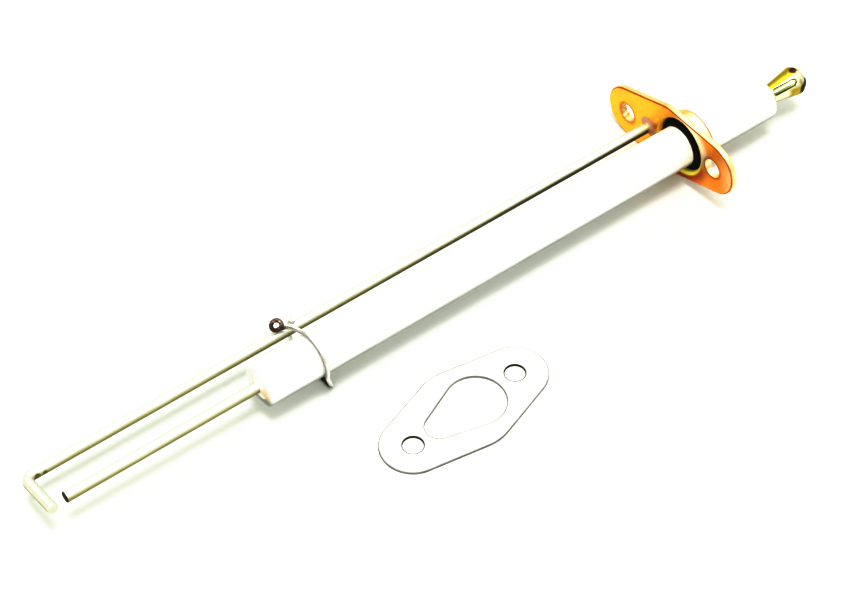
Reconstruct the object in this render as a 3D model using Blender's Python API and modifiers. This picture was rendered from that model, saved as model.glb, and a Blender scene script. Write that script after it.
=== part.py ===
"""Flame sensor probe with its loose gasket, in metres, as it lies on the floor at z = 0.

The probe's axis runs along world X, with the flame end towards -X and the terminal towards +X. A station is
a distance along that axis from the flange's front face, and is positive towards the terminal.
"""

import math

import bmesh
import bpy
from mathutils import Matrix, Vector

# Clearance between neighbouring pieces, and the facets of round ones
CLEARANCE = 0.0003
TURN_STEPS = 48
SMALL_TURN_STEPS = 32
WELD = 0.000001
SHARP_ANGLE = math.radians(35)

# How far a cutter runs past what it cuts, and how far a joined piece starts below its seat
CUTTER_RUN = 0.0010
SEAT_SINK = 0.00005

# Ceramic insulator
CERAMIC_DIAMETER = 0.0120
CERAMIC_AHEAD = 0.1385
CERAMIC_BEHIND = 0.0313
CERAMIC_FRONT_ROUND = 0.0006
CERAMIC_REAR_ROUND = 0.0015

# Sensing electrode
SENSING_DIAMETER = 0.0030
SENSING_REACH = 0.0568
SENSING_CHAMFER = 0.0002

# Earth electrode: its leg turns in front of the sensing tip
EARTH_DIAMETER = 0.0030
EARTH_OFFSET = 0.0124
EARTH_BEND = 0.0024
EARTH_TAIL = 0.0010
SPARK_GAP = 0.0026
LEG_PAST_AXIS = 0.0015

# Braze fillet round the earth electrode
BRAZE_FOOT = 0.00115
BRAZE_HEIGHT = 0.0013
BRAZE_LIP = 0.0003

# Packing in the flange's cup
PACKING_WALL = 0.0013
PACKING_RECESS = 0.0003
PACKING_SLOPE = 0.0012

# Mounting flange: plate
HOLE_SPACING = 0.0350
SCREW_HOLE_DIAMETER = 0.0055
SCREW_HOLE_ROLL = 0.0006
PLATE_THICKNESS = 0.0020
PLATE_SHIFT = 0.00385
PLATE_WAIST_LAND = 0.0013
PLATE_EAR_LAND = 0.0051
PLATE_EDGE_ROUND = 0.0003

# Mounting flange: drawn cup
CUP_DEPTH = 0.0072
CUP_WALL = 0.0008
CUP_FLOOR = 0.0015
CUP_ROUND = 0.0012
CUP_FILLET = 0.0009
MOUTH_ROUND = 0.0020

# Cement at both ends of the ceramic
FRONT_CEMENT_WALL = 0.0015
FRONT_CEMENT_DEPTH = 0.0035
FRONT_CEMENT_CROWN = 0.0004
REAR_CEMENT_WALL = 0.0006
REAR_CEMENT_DEPTH = 0.0080

# Terminal: stud and slotted cage
STUD_DEPTH = 0.0180
STUD_SOCKET_WALL = 0.0006
STUD_SOCKET_DEPTH = 0.0090
STUD_NECK = 0.0003
STUD_CORE_DIAMETER = 0.0030
STUD_HEAD_DIAMETER = 0.0062
STUD_HEAD_THICKNESS = 0.0017
CAGE_LENGTH = 0.0112
CAGE_NECK_DIAMETER = 0.0052
CAGE_BELLY_DIAMETER = 0.0073
CAGE_TIP_DIAMETER = 0.0064
CAGE_FLARE_LENGTH = 0.0102
CAGE_FLARE_POWER = 1.2
CAGE_DOME_LENGTH = 0.0010
CAGE_WALL = 0.0006
CAGE_COLLAR = 0.0006
CAGE_SLOTS = 10
CAGE_SLOT_WIDTH = 0.0009
CAGE_SLOT_MARGIN = 0.0003
CAGE_REAR_BAND = 0.0022

# Wire clip round the ceramic
WIRE_DIAMETER = 0.0012
CLIP_SETBACK = 0.0163
CLIP_STEP = 0.0030
CLIP_RELEASE = math.radians(200)
CLIP_NEAR_BEND = 0.0015
CLIP_FAR_BEND = 0.0045
CLIP_HOOK_TURN = math.radians(100)
EYE_RADIUS = 0.0012
EYE_AHEAD = 0.0022
EYE_LEAN = math.radians(35)
EYE_TURN = math.radians(350)
EYE_PITCH = 0.0028
STRAND_START_PULL = 0.0110
STRAND_END_PULL = 0.0100

# Gasket, lying beside the probe
GASKET_THICKNESS = 0.0008
GASKET_CERAMIC_PLAY = 0.0020
GASKET_EARTH_PLAY = 0.0024
GASKET_WAIST_LAND = 0.0051
GASKET_EAR_LAND = 0.0060
GASKET_AHEAD = 0.0965
GASKET_ASIDE = 0.0299
GASKET_TURN = math.radians(4.67)

# Radii and stations that several pieces share
ceramic_radius = CERAMIC_DIAMETER / 2
sensing_radius = SENSING_DIAMETER / 2
earth_radius = EARTH_DIAMETER / 2
wire_radius = WIRE_DIAMETER / 2
screw_hole_radius = SCREW_HOLE_DIAMETER / 2
core_radius = STUD_CORE_DIAMETER / 2
socket_radius = sensing_radius + CLEARANCE
shank_radius = socket_radius + STUD_SOCKET_WALL
front_cement_radius = sensing_radius + CLEARANCE + FRONT_CEMENT_WALL
rear_cement_radius = shank_radius + CLEARANCE + REAR_CEMENT_WALL
packing_inner_radius = ceramic_radius + CLEARANCE
packing_outer_radius = packing_inner_radius + PACKING_WALL
cup_bore_radius = packing_outer_radius + CLEARANCE
cup_radius = cup_bore_radius + CUP_WALL
waist_radius = cup_radius + CUP_FILLET + PLATE_WAIST_LAND
ear_radius = screw_hole_radius + PLATE_EAR_LAND

ceramic_front = -CERAMIC_AHEAD
ceramic_rear = CERAMIC_BEHIND
sensing_tip = ceramic_front - SENSING_REACH
leg_station = sensing_tip - SPARK_GAP - earth_radius
stud_front = ceramic_rear - STUD_DEPTH
socket_floor = stud_front + STUD_SOCKET_DEPTH
stud_shoulder = ceramic_rear + STUD_NECK
cage_front = stud_shoulder + CLEARANCE
cage_rear = cage_front + CAGE_LENGTH
head_front = cage_rear + CLEARANCE
head_rear = head_front + STUD_HEAD_THICKNESS
clip_station = ceramic_front + CLIP_SETBACK

# The probe lies on one straight side of its plate, which rolls it and sets its axis' height
roll = -math.asin((waist_radius - ear_radius) / (HOLE_SPACING / 2))
axis_height = waist_radius - PLATE_SHIFT * math.sin(roll)

# The origin is the middle of the object's footprint
gasket_mouth_radius = ceramic_radius + GASKET_CERAMIC_PLAY
gasket_toe_radius = earth_radius + GASKET_EARTH_PLAY
gasket_waist_radius = gasket_mouth_radius + GASKET_WAIST_LAND
gasket_ear_radius = screw_hole_radius + GASKET_EAR_LAND
far_side = (PLATE_SHIFT + HOLE_SPACING / 2) * math.cos(roll) + ear_radius
near_side = -GASKET_ASIDE - gasket_waist_radius
middle_x = -(leg_station - earth_radius + head_rear) / 2
middle_y = -(far_side + near_side) / 2


def clear_scene():
    for obj in list(bpy.data.objects):
        bpy.data.objects.remove(obj, do_unlink=True)


def new_collection(name):
    collection = bpy.data.collections.new(name)
    bpy.context.scene.collection.children.link(collection)
    return collection


def finish(name, color, roughness, metallic):
    material = bpy.data.materials.new(name)
    material.use_nodes = True
    shader = material.node_tree.nodes["Principled BSDF"]
    shader.inputs["Base Color"].default_value = (*color, 1)
    shader.inputs["Roughness"].default_value = roughness
    shader.inputs["Metallic"].default_value = metallic
    return material


def frame_empty(name, matrix):
    empty = bpy.data.objects.new(name, None)
    empty.matrix_world = matrix
    parts.objects.link(empty)
    return empty


def arc(center, radius, start, stop, pieces):
    """Points of an arc in a plane, both ends included."""
    turns = [start + (stop - start) * step / pieces for step in range(pieces + 1)]
    return [(center[0] + radius * math.cos(t), center[1] + radius * math.sin(t)) for t in turns]


def baked(obj):
    """Puts an object's evaluated shape into its own mesh, welded and facing out."""
    bpy.context.view_layer.update()
    graph = bpy.context.evaluated_depsgraph_get()
    mesh = bpy.data.meshes.new_from_object(obj.evaluated_get(graph))
    mesh.name = obj.name
    shape = bmesh.new()
    shape.from_mesh(mesh)
    bmesh.ops.remove_doubles(shape, verts=shape.verts, dist=WELD)
    bmesh.ops.recalc_face_normals(shape, faces=shape.faces)
    shape.to_mesh(mesh)
    shape.free()
    mesh.shade_smooth()
    mesh.set_sharp_from_angle(angle=SHARP_ANGLE)
    return mesh


def turned(name, profile, collection, parent, steps=TURN_STEPS, offset=0.0):
    """A solid of revolution from (station, radius) points. It stands beside the axis by the offset."""
    mesh = bpy.data.meshes.new(name)
    rim = [(radius, 0, station) for station, radius in profile]
    links = [(i, i + 1) for i in range(len(rim) - 1)]
    if profile[0][1] > 0 or profile[-1][1] > 0:
        links.append((len(rim) - 1, 0))
    mesh.from_pydata(rim, links, [])
    obj = bpy.data.objects.new(name, mesh)
    collection.objects.link(obj)
    obj.parent = parent
    obj.location = (0, offset, 0)
    screw = obj.modifiers.new("Revolve", "SCREW")
    screw.axis = "Z"
    screw.angle = math.tau
    screw.steps = steps
    screw.render_steps = steps
    screw.use_merge_vertices = True
    screw.merge_threshold = WELD
    obj.data = baked(obj)
    obj.modifiers.clear()
    return obj


def flat_curve(name, outlines, thickness, collection):
    """A plate as a filled 2D curve. Its first outline is the rim and the others are holes."""
    curve = bpy.data.curves.new(name, "CURVE")
    curve.dimensions = "2D"
    curve.fill_mode = "BOTH"
    curve.extrude = thickness / 2
    for outline in outlines:
        spline = curve.splines.new("POLY")
        spline.points.add(len(outline) - 1)
        spline.use_cyclic_u = True
        for point, (x, y) in zip(spline.points, outline):
            point.co = (x, y, 0, 1)
    obj = bpy.data.objects.new(name, curve)
    collection.objects.link(obj)
    return obj


def as_mesh(curve_object, collection):
    """Replaces a curve object by a welded mesh object of the same name and place."""
    name = curve_object.name
    mesh = baked(curve_object)
    matrix = curve_object.matrix_world.copy()
    bpy.data.objects.remove(curve_object, do_unlink=True)
    obj = bpy.data.objects.new(name, mesh)
    obj.matrix_world = matrix
    collection.objects.link(obj)
    return obj


def tube(name, points, radius, sides_resolution, parent):
    """A rod or wire along points, with filled ends."""
    curve = bpy.data.curves.new(name, "CURVE")
    curve.dimensions = "3D"
    curve.bevel_depth = radius
    curve.bevel_resolution = sides_resolution
    curve.use_fill_caps = True
    spline = curve.splines.new("POLY")
    spline.points.add(len(points) - 1)
    for point, place in zip(spline.points, points):
        point.co = (*place, 1)
    obj = bpy.data.objects.new(name, curve)
    parts.objects.link(obj)
    obj.parent = parent
    return obj


def combine(obj, tool, operation):
    modifier = obj.modifiers.new(f"{operation.title()} {tool.name}", "BOOLEAN")
    modifier.operation = operation
    modifier.solver = "EXACT"
    modifier.object = tool
    tool.hide_render = True
    tool.display_type = "WIRE"


def lozenge(waist, ear, spacing):
    """Rim of a two-hole plate: a waist arc and two ear arcs joined by their common tangents."""
    lean = math.asin((waist - ear) / (spacing / 2))
    quarter = math.pi / 2
    return (
        arc((spacing / 2, 0), ear, lean - quarter, quarter - lean, 14)
        + arc((0, 0), waist, quarter - lean, quarter + lean, 4)
        + arc((-spacing / 2, 0), ear, quarter + lean, 3 * quarter - lean, 14)
        + arc((0, 0), waist, 3 * quarter - lean, 3 * quarter + lean, 4)
    )


def pear(mouth_center, mouth, toe_center, toe):
    """A large and a small circle on the plate's long axis, joined by their common tangents."""
    lean = math.asin((mouth - toe) / (mouth_center - toe_center))
    quarter = math.pi / 2
    return arc((mouth_center, 0), mouth, -quarter - lean, quarter + lean, 22) + arc(
        (toe_center, 0), toe, quarter + lean, 3 * quarter - lean, 12
    )


def circle(center, radius):
    return arc(center, radius, 0, math.tau * (1 - 1 / SMALL_TURN_STEPS), SMALL_TURN_STEPS - 1)


def rolled_mouth(radius, roll_radius):
    """Profile of a hole's rounded entry at the plate's front face, for a cutter."""
    entry = arc((roll_radius, radius + roll_radius), roll_radius, math.pi, 3 * math.pi / 2, 4)
    return [(-CUTTER_RUN, radius + roll_radius), (-SEAT_SINK, radius + roll_radius)] + entry[1:]


def make_ceramic(parent):
    front_bore = front_cement_radius + CLEARANCE
    front_floor = ceramic_front + FRONT_CEMENT_DEPTH + CLEARANCE
    rear_bore = rear_cement_radius + CLEARANCE
    rear_floor = stud_front - CLEARANCE
    bore = sensing_radius + CLEARANCE
    front_center = (ceramic_front + CERAMIC_FRONT_ROUND, ceramic_radius - CERAMIC_FRONT_ROUND)
    rear_center = (ceramic_rear - CERAMIC_REAR_ROUND, ceramic_radius - CERAMIC_REAR_ROUND)
    profile = [(ceramic_front, front_bore)]
    profile += arc(front_center, CERAMIC_FRONT_ROUND, math.pi, math.pi / 2, 3)
    profile += arc(rear_center, CERAMIC_REAR_ROUND, math.pi / 2, 0, 4)
    profile += [
        (ceramic_rear, rear_bore),
        (rear_floor, rear_bore),
        (rear_floor, bore),
        (front_floor, bore),
        (front_floor, front_bore),
    ]
    return turned("ceramic_insulator", profile, parts, parent)


def make_sensing_electrode(parent):
    end = socket_floor - CLEARANCE
    profile = [
        (sensing_tip, 0),
        (sensing_tip, sensing_radius - SENSING_CHAMFER),
        (sensing_tip + SENSING_CHAMFER, sensing_radius),
        (end, sensing_radius),
        (end, 0),
    ]
    return turned("sensing_electrode", profile, parts, parent, SMALL_TURN_STEPS)


def make_earth_electrode(parent):
    """A straight rod through the plate, then a bend and the leg that crosses the probe's axis."""
    bend_center = (EARTH_OFFSET - EARTH_BEND, leg_station + EARTH_BEND)
    bend = arc(bend_center, EARTH_BEND, 0, -math.pi / 2, 8)
    route = [(EARTH_OFFSET, PLATE_THICKNESS + EARTH_TAIL)] + bend + [(-LEG_PAST_AXIS, leg_station)]
    points = [(0, across, station) for across, station in route]
    return tube("earth_electrode", points, earth_radius, 6, parent)


def make_braze_ring(parent):
    inner = earth_radius + CLEARANCE
    lip = inner + BRAZE_LIP
    foot = inner + BRAZE_FOOT
    sweep = foot - lip
    turns = [math.pi / 2 * step / 4 for step in range(5)]
    face = [
        (-CLEARANCE - BRAZE_HEIGHT * (1 - math.sin(t)), foot - sweep * math.sin(math.pi / 2 - t))
        for t in turns
    ]
    profile = [(-CLEARANCE, inner), (-CLEARANCE - BRAZE_HEIGHT, inner)] + face
    return turned("earth_braze_ring", profile, parts, parent, SMALL_TURN_STEPS, EARTH_OFFSET)


def make_packing(parent):
    rear = CUP_DEPTH - CUP_FLOOR - CLEARANCE
    profile = [
        (rear, packing_inner_radius),
        (rear, packing_outer_radius),
        (PACKING_RECESS + PACKING_SLOPE, packing_outer_radius),
        (PACKING_RECESS, packing_inner_radius),
    ]
    return turned("seal_packing", profile, parts, parent)


def make_front_cement(parent):
    inner = sensing_radius + CLEARANCE
    rear = ceramic_front + FRONT_CEMENT_DEPTH
    profile = [
        (rear, inner),
        (rear, front_cement_radius),
        (ceramic_front, front_cement_radius),
        (ceramic_front - FRONT_CEMENT_CROWN, inner),
    ]
    return turned("front_cement", profile, parts, parent, SMALL_TURN_STEPS)


def make_rear_cement(parent):
    inner = shank_radius + CLEARANCE
    front = ceramic_rear - REAR_CEMENT_DEPTH
    profile = [
        (ceramic_rear, inner),
        (ceramic_rear, rear_cement_radius),
        (front, rear_cement_radius),
        (front, inner),
    ]
    return turned("rear_cement", profile, parts, parent, SMALL_TURN_STEPS)


def plate_outline():
    """The flange's rim, with the line of its screw holes along Y."""
    rim = lozenge(waist_radius, ear_radius, HOLE_SPACING)
    return [(-across, along + PLATE_SHIFT) for along, across in rim]


def make_cup_body(parent):
    """Solid of the drawn cup, with its fillet to the plate. It starts inside the plate."""
    fillet_center = (PLATE_THICKNESS + CUP_FILLET, cup_radius + CUP_FILLET)
    fillet = arc(fillet_center, CUP_FILLET, math.pi, 3 * math.pi / 2, 4)
    corner = arc((CUP_DEPTH - CUP_ROUND, cup_radius - CUP_ROUND), CUP_ROUND, math.pi / 2, 0, 5)
    foot = cup_radius + CUP_FILLET
    profile = [(PLATE_THICKNESS / 2, 0), (PLATE_THICKNESS / 2, foot), (PLATE_THICKNESS - SEAT_SINK, foot)]
    profile += fillet[1:] + corner + [(CUP_DEPTH, 0)]
    return turned("cup_body", profile, cutters, parent)


def make_cup_cavity(parent):
    """The bell mouth, the packing's room and the ceramic's way through the cup's floor."""
    floor = CUP_DEPTH - CUP_FLOOR
    way = ceramic_radius + CLEARANCE
    profile = [(-CUTTER_RUN, 0)] + rolled_mouth(cup_bore_radius, MOUTH_ROUND)
    profile += [(floor, cup_bore_radius), (floor, way), (CUP_DEPTH + CUTTER_RUN, way)]
    profile += [(CUP_DEPTH + CUTTER_RUN, 0)]
    return turned("cup_cavity", profile, cutters, parent)


def make_screw_hole(name, offset, parent):
    rear = PLATE_THICKNESS + CUTTER_RUN
    profile = [(-CUTTER_RUN, 0)] + rolled_mouth(screw_hole_radius, SCREW_HOLE_ROLL)
    profile += [(rear, screw_hole_radius), (rear, 0)]
    return turned(name, profile, cutters, parent, SMALL_TURN_STEPS, offset)


def make_earth_hole(parent):
    radius = earth_radius + CLEARANCE
    rear = PLATE_THICKNESS + EARTH_TAIL + CUTTER_RUN
    profile = [(-CUTTER_RUN, 0), (-CUTTER_RUN, radius), (rear, radius), (rear, 0)]
    return turned("earth_hole", profile, cutters, parent, SMALL_TURN_STEPS, EARTH_OFFSET)


def make_flange(parent):
    """Pressed plate with rounded rims, joined to the drawn cup and then bored."""
    flange = as_mesh(flat_curve("mounting_flange", [plate_outline()], PLATE_THICKNESS, parts), parts)
    flange.parent = parent
    flange.location = (0, 0, PLATE_THICKNESS / 2)
    rims = flange.modifiers.new("Rounded rims", "BEVEL")
    rims.width = PLATE_EDGE_ROUND
    rims.segments = 2
    rims.limit_method = "ANGLE"
    rims.angle_limit = SHARP_ANGLE
    combine(flange, make_cup_body(parent), "UNION")
    combine(flange, make_cup_cavity(parent), "DIFFERENCE")
    half = HOLE_SPACING / 2
    combine(flange, make_screw_hole("far_screw_hole", PLATE_SHIFT + half, parent), "DIFFERENCE")
    combine(flange, make_screw_hole("near_screw_hole", PLATE_SHIFT - half, parent), "DIFFERENCE")
    combine(flange, make_earth_hole(parent), "DIFFERENCE")
    return flange


def make_stud(parent):
    """Socket for the rod, shank in the ceramic, core in the cage and a domed riveted head."""
    head_radius = STUD_HEAD_DIAMETER / 2
    turns = [math.pi / 2 * step / 4 for step in range(5)]
    dome = [(head_front + STUD_HEAD_THICKNESS * math.cos(t), head_radius * math.sin(t)) for t in turns]
    dome[0] = (head_rear, 0)
    profile = dome + [
        (head_front, core_radius),
        (stud_shoulder, core_radius),
        (stud_shoulder, shank_radius),
        (stud_front, shank_radius),
        (stud_front, socket_radius),
        (socket_floor, socket_radius),
        (socket_floor, 0),
    ]
    return turned("terminal_stud", profile, parts, parent, SMALL_TURN_STEPS)


def cage_curve(thinner):
    """Outline of the cage from neck to tip, drawn in by a wall."""
    neck = CAGE_NECK_DIAMETER / 2 - thinner
    belly = CAGE_BELLY_DIAMETER / 2 - thinner
    tip = CAGE_TIP_DIAMETER / 2 - thinner
    dome_start = cage_rear - CAGE_DOME_LENGTH
    steps = [step / 6 for step in range(7)]
    flare = [
        (cage_front + CAGE_FLARE_LENGTH * s, neck + (belly - neck) * s**CAGE_FLARE_POWER)
        for s in steps
    ]
    dome = [
        (
            dome_start + CAGE_DOME_LENGTH * math.sin(math.pi / 2 * s),
            tip + (belly - tip) * math.cos(math.pi / 2 * s),
        )
        for s in steps
    ]
    return flare + dome


def make_cage_slots(parent):
    """Slot cutters round the axis, from behind the front collar to the closed rear band."""
    front = cage_front + CAGE_COLLAR + CAGE_SLOT_MARGIN
    rear = cage_rear - CAGE_REAR_BAND
    inner = core_radius + CLEARANCE
    outer = CAGE_BELLY_DIAMETER / 2 + CUTTER_RUN
    shape = bmesh.new()
    size = Matrix.Diagonal((outer - inner, CAGE_SLOT_WIDTH, rear - front, 1))
    place = Matrix.Translation(((outer + inner) / 2, 0, (front + rear) / 2))
    for slot in range(CAGE_SLOTS):
        turn = Matrix.Rotation(math.tau * slot / CAGE_SLOTS, 4, "Z")
        bmesh.ops.create_cube(shape, size=1, matrix=turn @ place @ size)
    mesh = bpy.data.meshes.new("cage_slots")
    shape.to_mesh(mesh)
    shape.free()
    obj = bpy.data.objects.new("cage_slots", mesh)
    cutters.objects.link(obj)
    obj.parent = parent
    return obj


def make_cage(parent):
    """Barrel of spring leaves between a front collar and a closed rear ring."""
    inner = core_radius + CLEARANCE
    inside = [
        (station, max(radius, inner))
        for station, radius in cage_curve(CAGE_WALL)
        if cage_front + CAGE_COLLAR < station < cage_rear - CAGE_WALL
    ]
    collar = (cage_front + CAGE_COLLAR, inner)
    ring = (cage_rear - CAGE_WALL, inner)
    profile = [(cage_front, inner)] + cage_curve(0) + [(cage_rear, inner), ring]
    profile += inside[::-1] + [collar]
    cage = turned("terminal_cage", profile, parts, parent, TURN_STEPS)
    combine(cage, make_cage_slots(parent), "DIFFERENCE")
    return cage


def eased_curve(start, start_pull, stop, stop_pull, pieces):
    """Cubic between two points that leaves and arrives along the given pulls, ends left out."""
    points = []
    for step in range(1, pieces):
        t = step / pieces
        points.append(
            start * (2 * t**3 - 3 * t**2 + 1)
            + start_pull * (t**3 - 2 * t**2 + t)
            + stop * (3 * t**2 - 2 * t**3)
            + stop_pull * (t**3 - t**2)
        )
    return points


def across_axis(points, drift=0.0):
    """Points of a plane across the axis as 3D points, moved along the axis by the drift."""
    return [Vector((drift, y, z)) for y, z in points]


def eye_points(base):
    """The eye: one open turn that leans back over the earth rod and climbs as it turns."""
    back = Vector((0, math.cos(EYE_LEAN), math.sin(EYE_LEAN)))
    climb = Vector((0, -math.sin(EYE_LEAN), math.cos(EYE_LEAN)))
    ahead = Vector((-1, 0, 0))
    center = base + EYE_RADIUS * back
    points = []
    for step in range(19):
        turn = EYE_TURN * (1 - step / 18)
        ring = ahead * math.sin(turn) - back * math.cos(turn)
        points.append(center + EYE_RADIUS * ring + climb * (EYE_PITCH * turn / math.tau))
    return points


def clip_points():
    """The wire's path about the probe's axis, from the eye to the hook on the earth rod.

    It crosses to the ceramic, follows it over the top, slants down to the floor, runs under both rods
    and comes up behind the earth rod.
    """
    on_ceramic = ceramic_radius + CLEARANCE + wire_radius
    on_rod = earth_radius + CLEARANCE + wire_radius
    rod = Vector((0, EARTH_OFFSET * math.cos(roll), EARTH_OFFSET * math.sin(roll)))
    floor = wire_radius - axis_height
    landing = roll + math.pi / 2 - math.asin((on_ceramic - on_rod) / EARTH_OFFSET)

    eye = eye_points(rod + Vector((-EYE_AHEAD, 0, on_rod)))
    touch = Vector((0, on_ceramic * math.cos(landing), on_ceramic * math.sin(landing)))
    along = Vector((0, -math.sin(landing), math.cos(landing)))
    leaving = Vector((STRAND_START_PULL, 0, 0))
    strand = eased_curve(eye[-1], leaving, touch, along * STRAND_END_PULL, 12)
    ring = across_axis(arc((0, 0), on_ceramic, landing, CLIP_RELEASE, 14))

    down = 3 * math.pi / 2
    lean = down - CLIP_RELEASE
    slant = (floor - on_ceramic * math.sin(CLIP_RELEASE)) / math.cos(CLIP_RELEASE)
    corner = on_ceramic * math.cos(CLIP_RELEASE) - slant * math.sin(CLIP_RELEASE)
    near_center = (corner + CLIP_NEAR_BEND * math.tan(lean / 2), floor + CLIP_NEAR_BEND)
    far_center = (rod.y + on_rod - CLIP_FAR_BEND, floor + CLIP_FAR_BEND)
    loop = arc(near_center, CLIP_NEAR_BEND, CLIP_RELEASE, down, 8)
    loop += arc(far_center, CLIP_FAR_BEND, down, math.tau, 8)
    loop += arc((rod.y, rod.z), on_rod, 0, CLIP_HOOK_TURN, 8)
    return eye + strand + ring + across_axis(loop, CLIP_STEP)


def least_self_gap(points, diameter):
    """Least clear distance between stretches of a wire that lie over a few diameters apart along it."""
    travelled = [0.0]
    for before, after in zip(points, points[1:]):
        travelled.append(travelled[-1] + (after - before).length)
    apart = 3 * diameter
    gaps = [
        (points[i] - points[j]).length - diameter
        for i in range(len(points))
        for j in range(i)
        if travelled[i] - travelled[j] > apart
    ]
    return min(gaps)


def make_clip(parent):
    points = clip_points()
    gap = least_self_gap(points, WIRE_DIAMETER)
    print(f"wire_clip: least gap to itself {gap * 1000:.2f} mm")
    return tube("wire_clip", points, wire_radius, 2, parent)


def make_gasket(parent):
    half = HOLE_SPACING / 2
    outlines = [
        lozenge(gasket_waist_radius, gasket_ear_radius, HOLE_SPACING),
        circle((half, 0), screw_hole_radius),
        circle((-half, 0), screw_hole_radius),
        pear(PLATE_SHIFT, gasket_mouth_radius, PLATE_SHIFT - EARTH_OFFSET, gasket_toe_radius),
    ]
    gasket = flat_curve("gasket", outlines, GASKET_THICKNESS, parts)
    gasket.parent = parent
    gasket.location = (0, 0, GASKET_THICKNESS / 2)
    return gasket


def paint(obj, material):
    obj.data.materials.clear()
    obj.data.materials.append(material)


def main():
    on_axis = Matrix.Translation((middle_x, middle_y, axis_height))
    lying = on_axis @ Matrix.Rotation(roll, 4, "X") @ Matrix.Rotation(math.pi / 2, 4, "Y")
    at_clip = on_axis @ Matrix.Translation((clip_station, 0, 0))
    beside = Matrix.Translation((middle_x - GASKET_AHEAD, middle_y - GASKET_ASIDE, 0))
    probe_axis = frame_empty("probe_axis", lying)
    clip_axis = frame_empty("clip_axis", at_clip)
    gasket_place = frame_empty("gasket_place", beside @ Matrix.Rotation(GASKET_TURN, 4, "Z"))

    ceramic = finish("white_ceramic", (0.92, 0.92, 0.90), 0.35, 0.0)
    electrode = finish("heat_proof_steel", (0.66, 0.62, 0.50), 0.38, 1.0)
    copper = finish("copper_plate", (0.87, 0.40, 0.12), 0.30, 1.0)
    braze = finish("braze", (0.62, 0.47, 0.40), 0.45, 1.0)
    packing = finish("black_packing", (0.02, 0.02, 0.02), 0.90, 0.0)
    cement = finish("cement", (0.82, 0.70, 0.48), 0.85, 0.0)
    brass = finish("brass", (0.80, 0.62, 0.20), 0.25, 1.0)
    wire = finish("bright_wire", (0.74, 0.72, 0.70), 0.22, 1.0)
    fibre = finish("white_fibre", (0.93, 0.93, 0.91), 0.90, 0.0)

    paint(make_flange(probe_axis), copper)
    paint(make_ceramic(probe_axis), ceramic)
    paint(make_sensing_electrode(probe_axis), electrode)
    paint(make_earth_electrode(probe_axis), electrode)
    paint(make_braze_ring(probe_axis), braze)
    paint(make_packing(probe_axis), packing)
    paint(make_front_cement(probe_axis), cement)
    paint(make_rear_cement(probe_axis), cement)
    paint(make_stud(probe_axis), brass)
    paint(make_cage(probe_axis), brass)
    paint(make_clip(clip_axis), wire)
    paint(make_gasket(gasket_place), fibre)


clear_scene()
parts = new_collection("flame_sensor_probe")
cutters = new_collection("cutters")
cutters.hide_render = True
main()
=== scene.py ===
"""Looks of a flame sensor probe and its loose gasket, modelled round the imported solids.

The probe lies along X with its flame end towards -X. Each operator models one piece, or a few like
pieces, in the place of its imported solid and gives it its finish. The last one sets up the floor, the
light and the camera.
"""

import math

import bpy
from bpy.props import FloatProperty, FloatVectorProperty, IntProperty, PointerProperty
from mathutils import Matrix, Vector


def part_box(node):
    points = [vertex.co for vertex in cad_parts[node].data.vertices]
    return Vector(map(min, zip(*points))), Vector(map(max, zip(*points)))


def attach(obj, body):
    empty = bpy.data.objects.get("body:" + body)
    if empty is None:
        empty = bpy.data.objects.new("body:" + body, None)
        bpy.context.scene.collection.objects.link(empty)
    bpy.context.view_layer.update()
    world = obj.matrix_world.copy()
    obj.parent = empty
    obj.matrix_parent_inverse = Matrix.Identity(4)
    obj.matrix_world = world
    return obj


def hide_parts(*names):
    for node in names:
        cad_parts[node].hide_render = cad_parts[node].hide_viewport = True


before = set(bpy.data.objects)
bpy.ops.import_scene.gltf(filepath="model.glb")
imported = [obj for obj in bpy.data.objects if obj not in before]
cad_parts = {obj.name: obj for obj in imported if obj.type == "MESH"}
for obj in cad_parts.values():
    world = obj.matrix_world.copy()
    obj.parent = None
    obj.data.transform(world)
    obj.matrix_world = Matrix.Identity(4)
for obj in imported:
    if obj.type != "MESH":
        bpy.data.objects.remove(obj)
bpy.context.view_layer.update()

bl_info = {
    "name": "Flame Sensor Probe",
    "version": (1, 0, 0),
    "blender": (4, 5, 0),
    "location": "3D View > Sidebar > Probe",
    "description": "Models a flame sensor probe and its gasket round the packed solids",
    "category": "Add Mesh",
}

QUARTER = math.pi / 2
ROUND_STEPS = 128
SMALL_STEPS = 64
ARC_STEPS = 10
SHARES = [step / ARC_STEPS for step in range(ARC_STEPS + 1)]
WELD = 0.000001
CUT_RUN = 0.001
SEAM_SINK = 0.00005
SMOOTH_ANGLE = math.radians(35)
END_ANGLE = math.radians(60)
FLAT_ANGLE = math.radians(0.5)
FLAT_FACE = 0.9
SECOND_DENT = 0.7
FLARE_POWER = 1.2

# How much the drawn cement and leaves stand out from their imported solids
CEMENT_SPREAD = 0.0006
LEAF_SPREAD = 0.0006

# Name, grain and depth of the uneven surfaces
CEMENT_LUMPS = ("cement_lumps", 0.0009, 0.00012)
PACKING_LUMPS = ("packing_lumps", 0.0012, 0.00030)
BRAZE_FLOW = ("braze_flow", 0.0022, 0.00045)

# Stage: the aim from the flange's face and the axis, and the tone curve's points
AIM_AHEAD = 0.08142
AIM_BESIDE = 0.00520
FLOOR_SIZE = 6.0
KEY_DIRECTION = Vector((-0.10, -0.20, 0.97)).normalized()
CEILING_FOCUS = 4
TONE = ((0, 0), (0.12, 0.055), (0.30, 0.24), (0.55, 0.62), (0.78, 0.98), (1, 1))

# Grains in a metre of the cloudy finishes
STAIN_GRAINS = 420
GLAZE_GRAINS = 160
PIT_GRAINS = 900
REAR_MARK_GRAINS = 1300
RIPPLE_GRAINS = 600
SPECK_GRAINS = 1500
BRAZE_GRAINS = 900
PACKING_GRAINS = 1800
CEMENT_GRAINS = 2600
BRASS_GRAINS = 700
WIRE_GRAINS = 800
FIBRE_GRAINS = 240
FLOOR_GRAINS = 900

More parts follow.
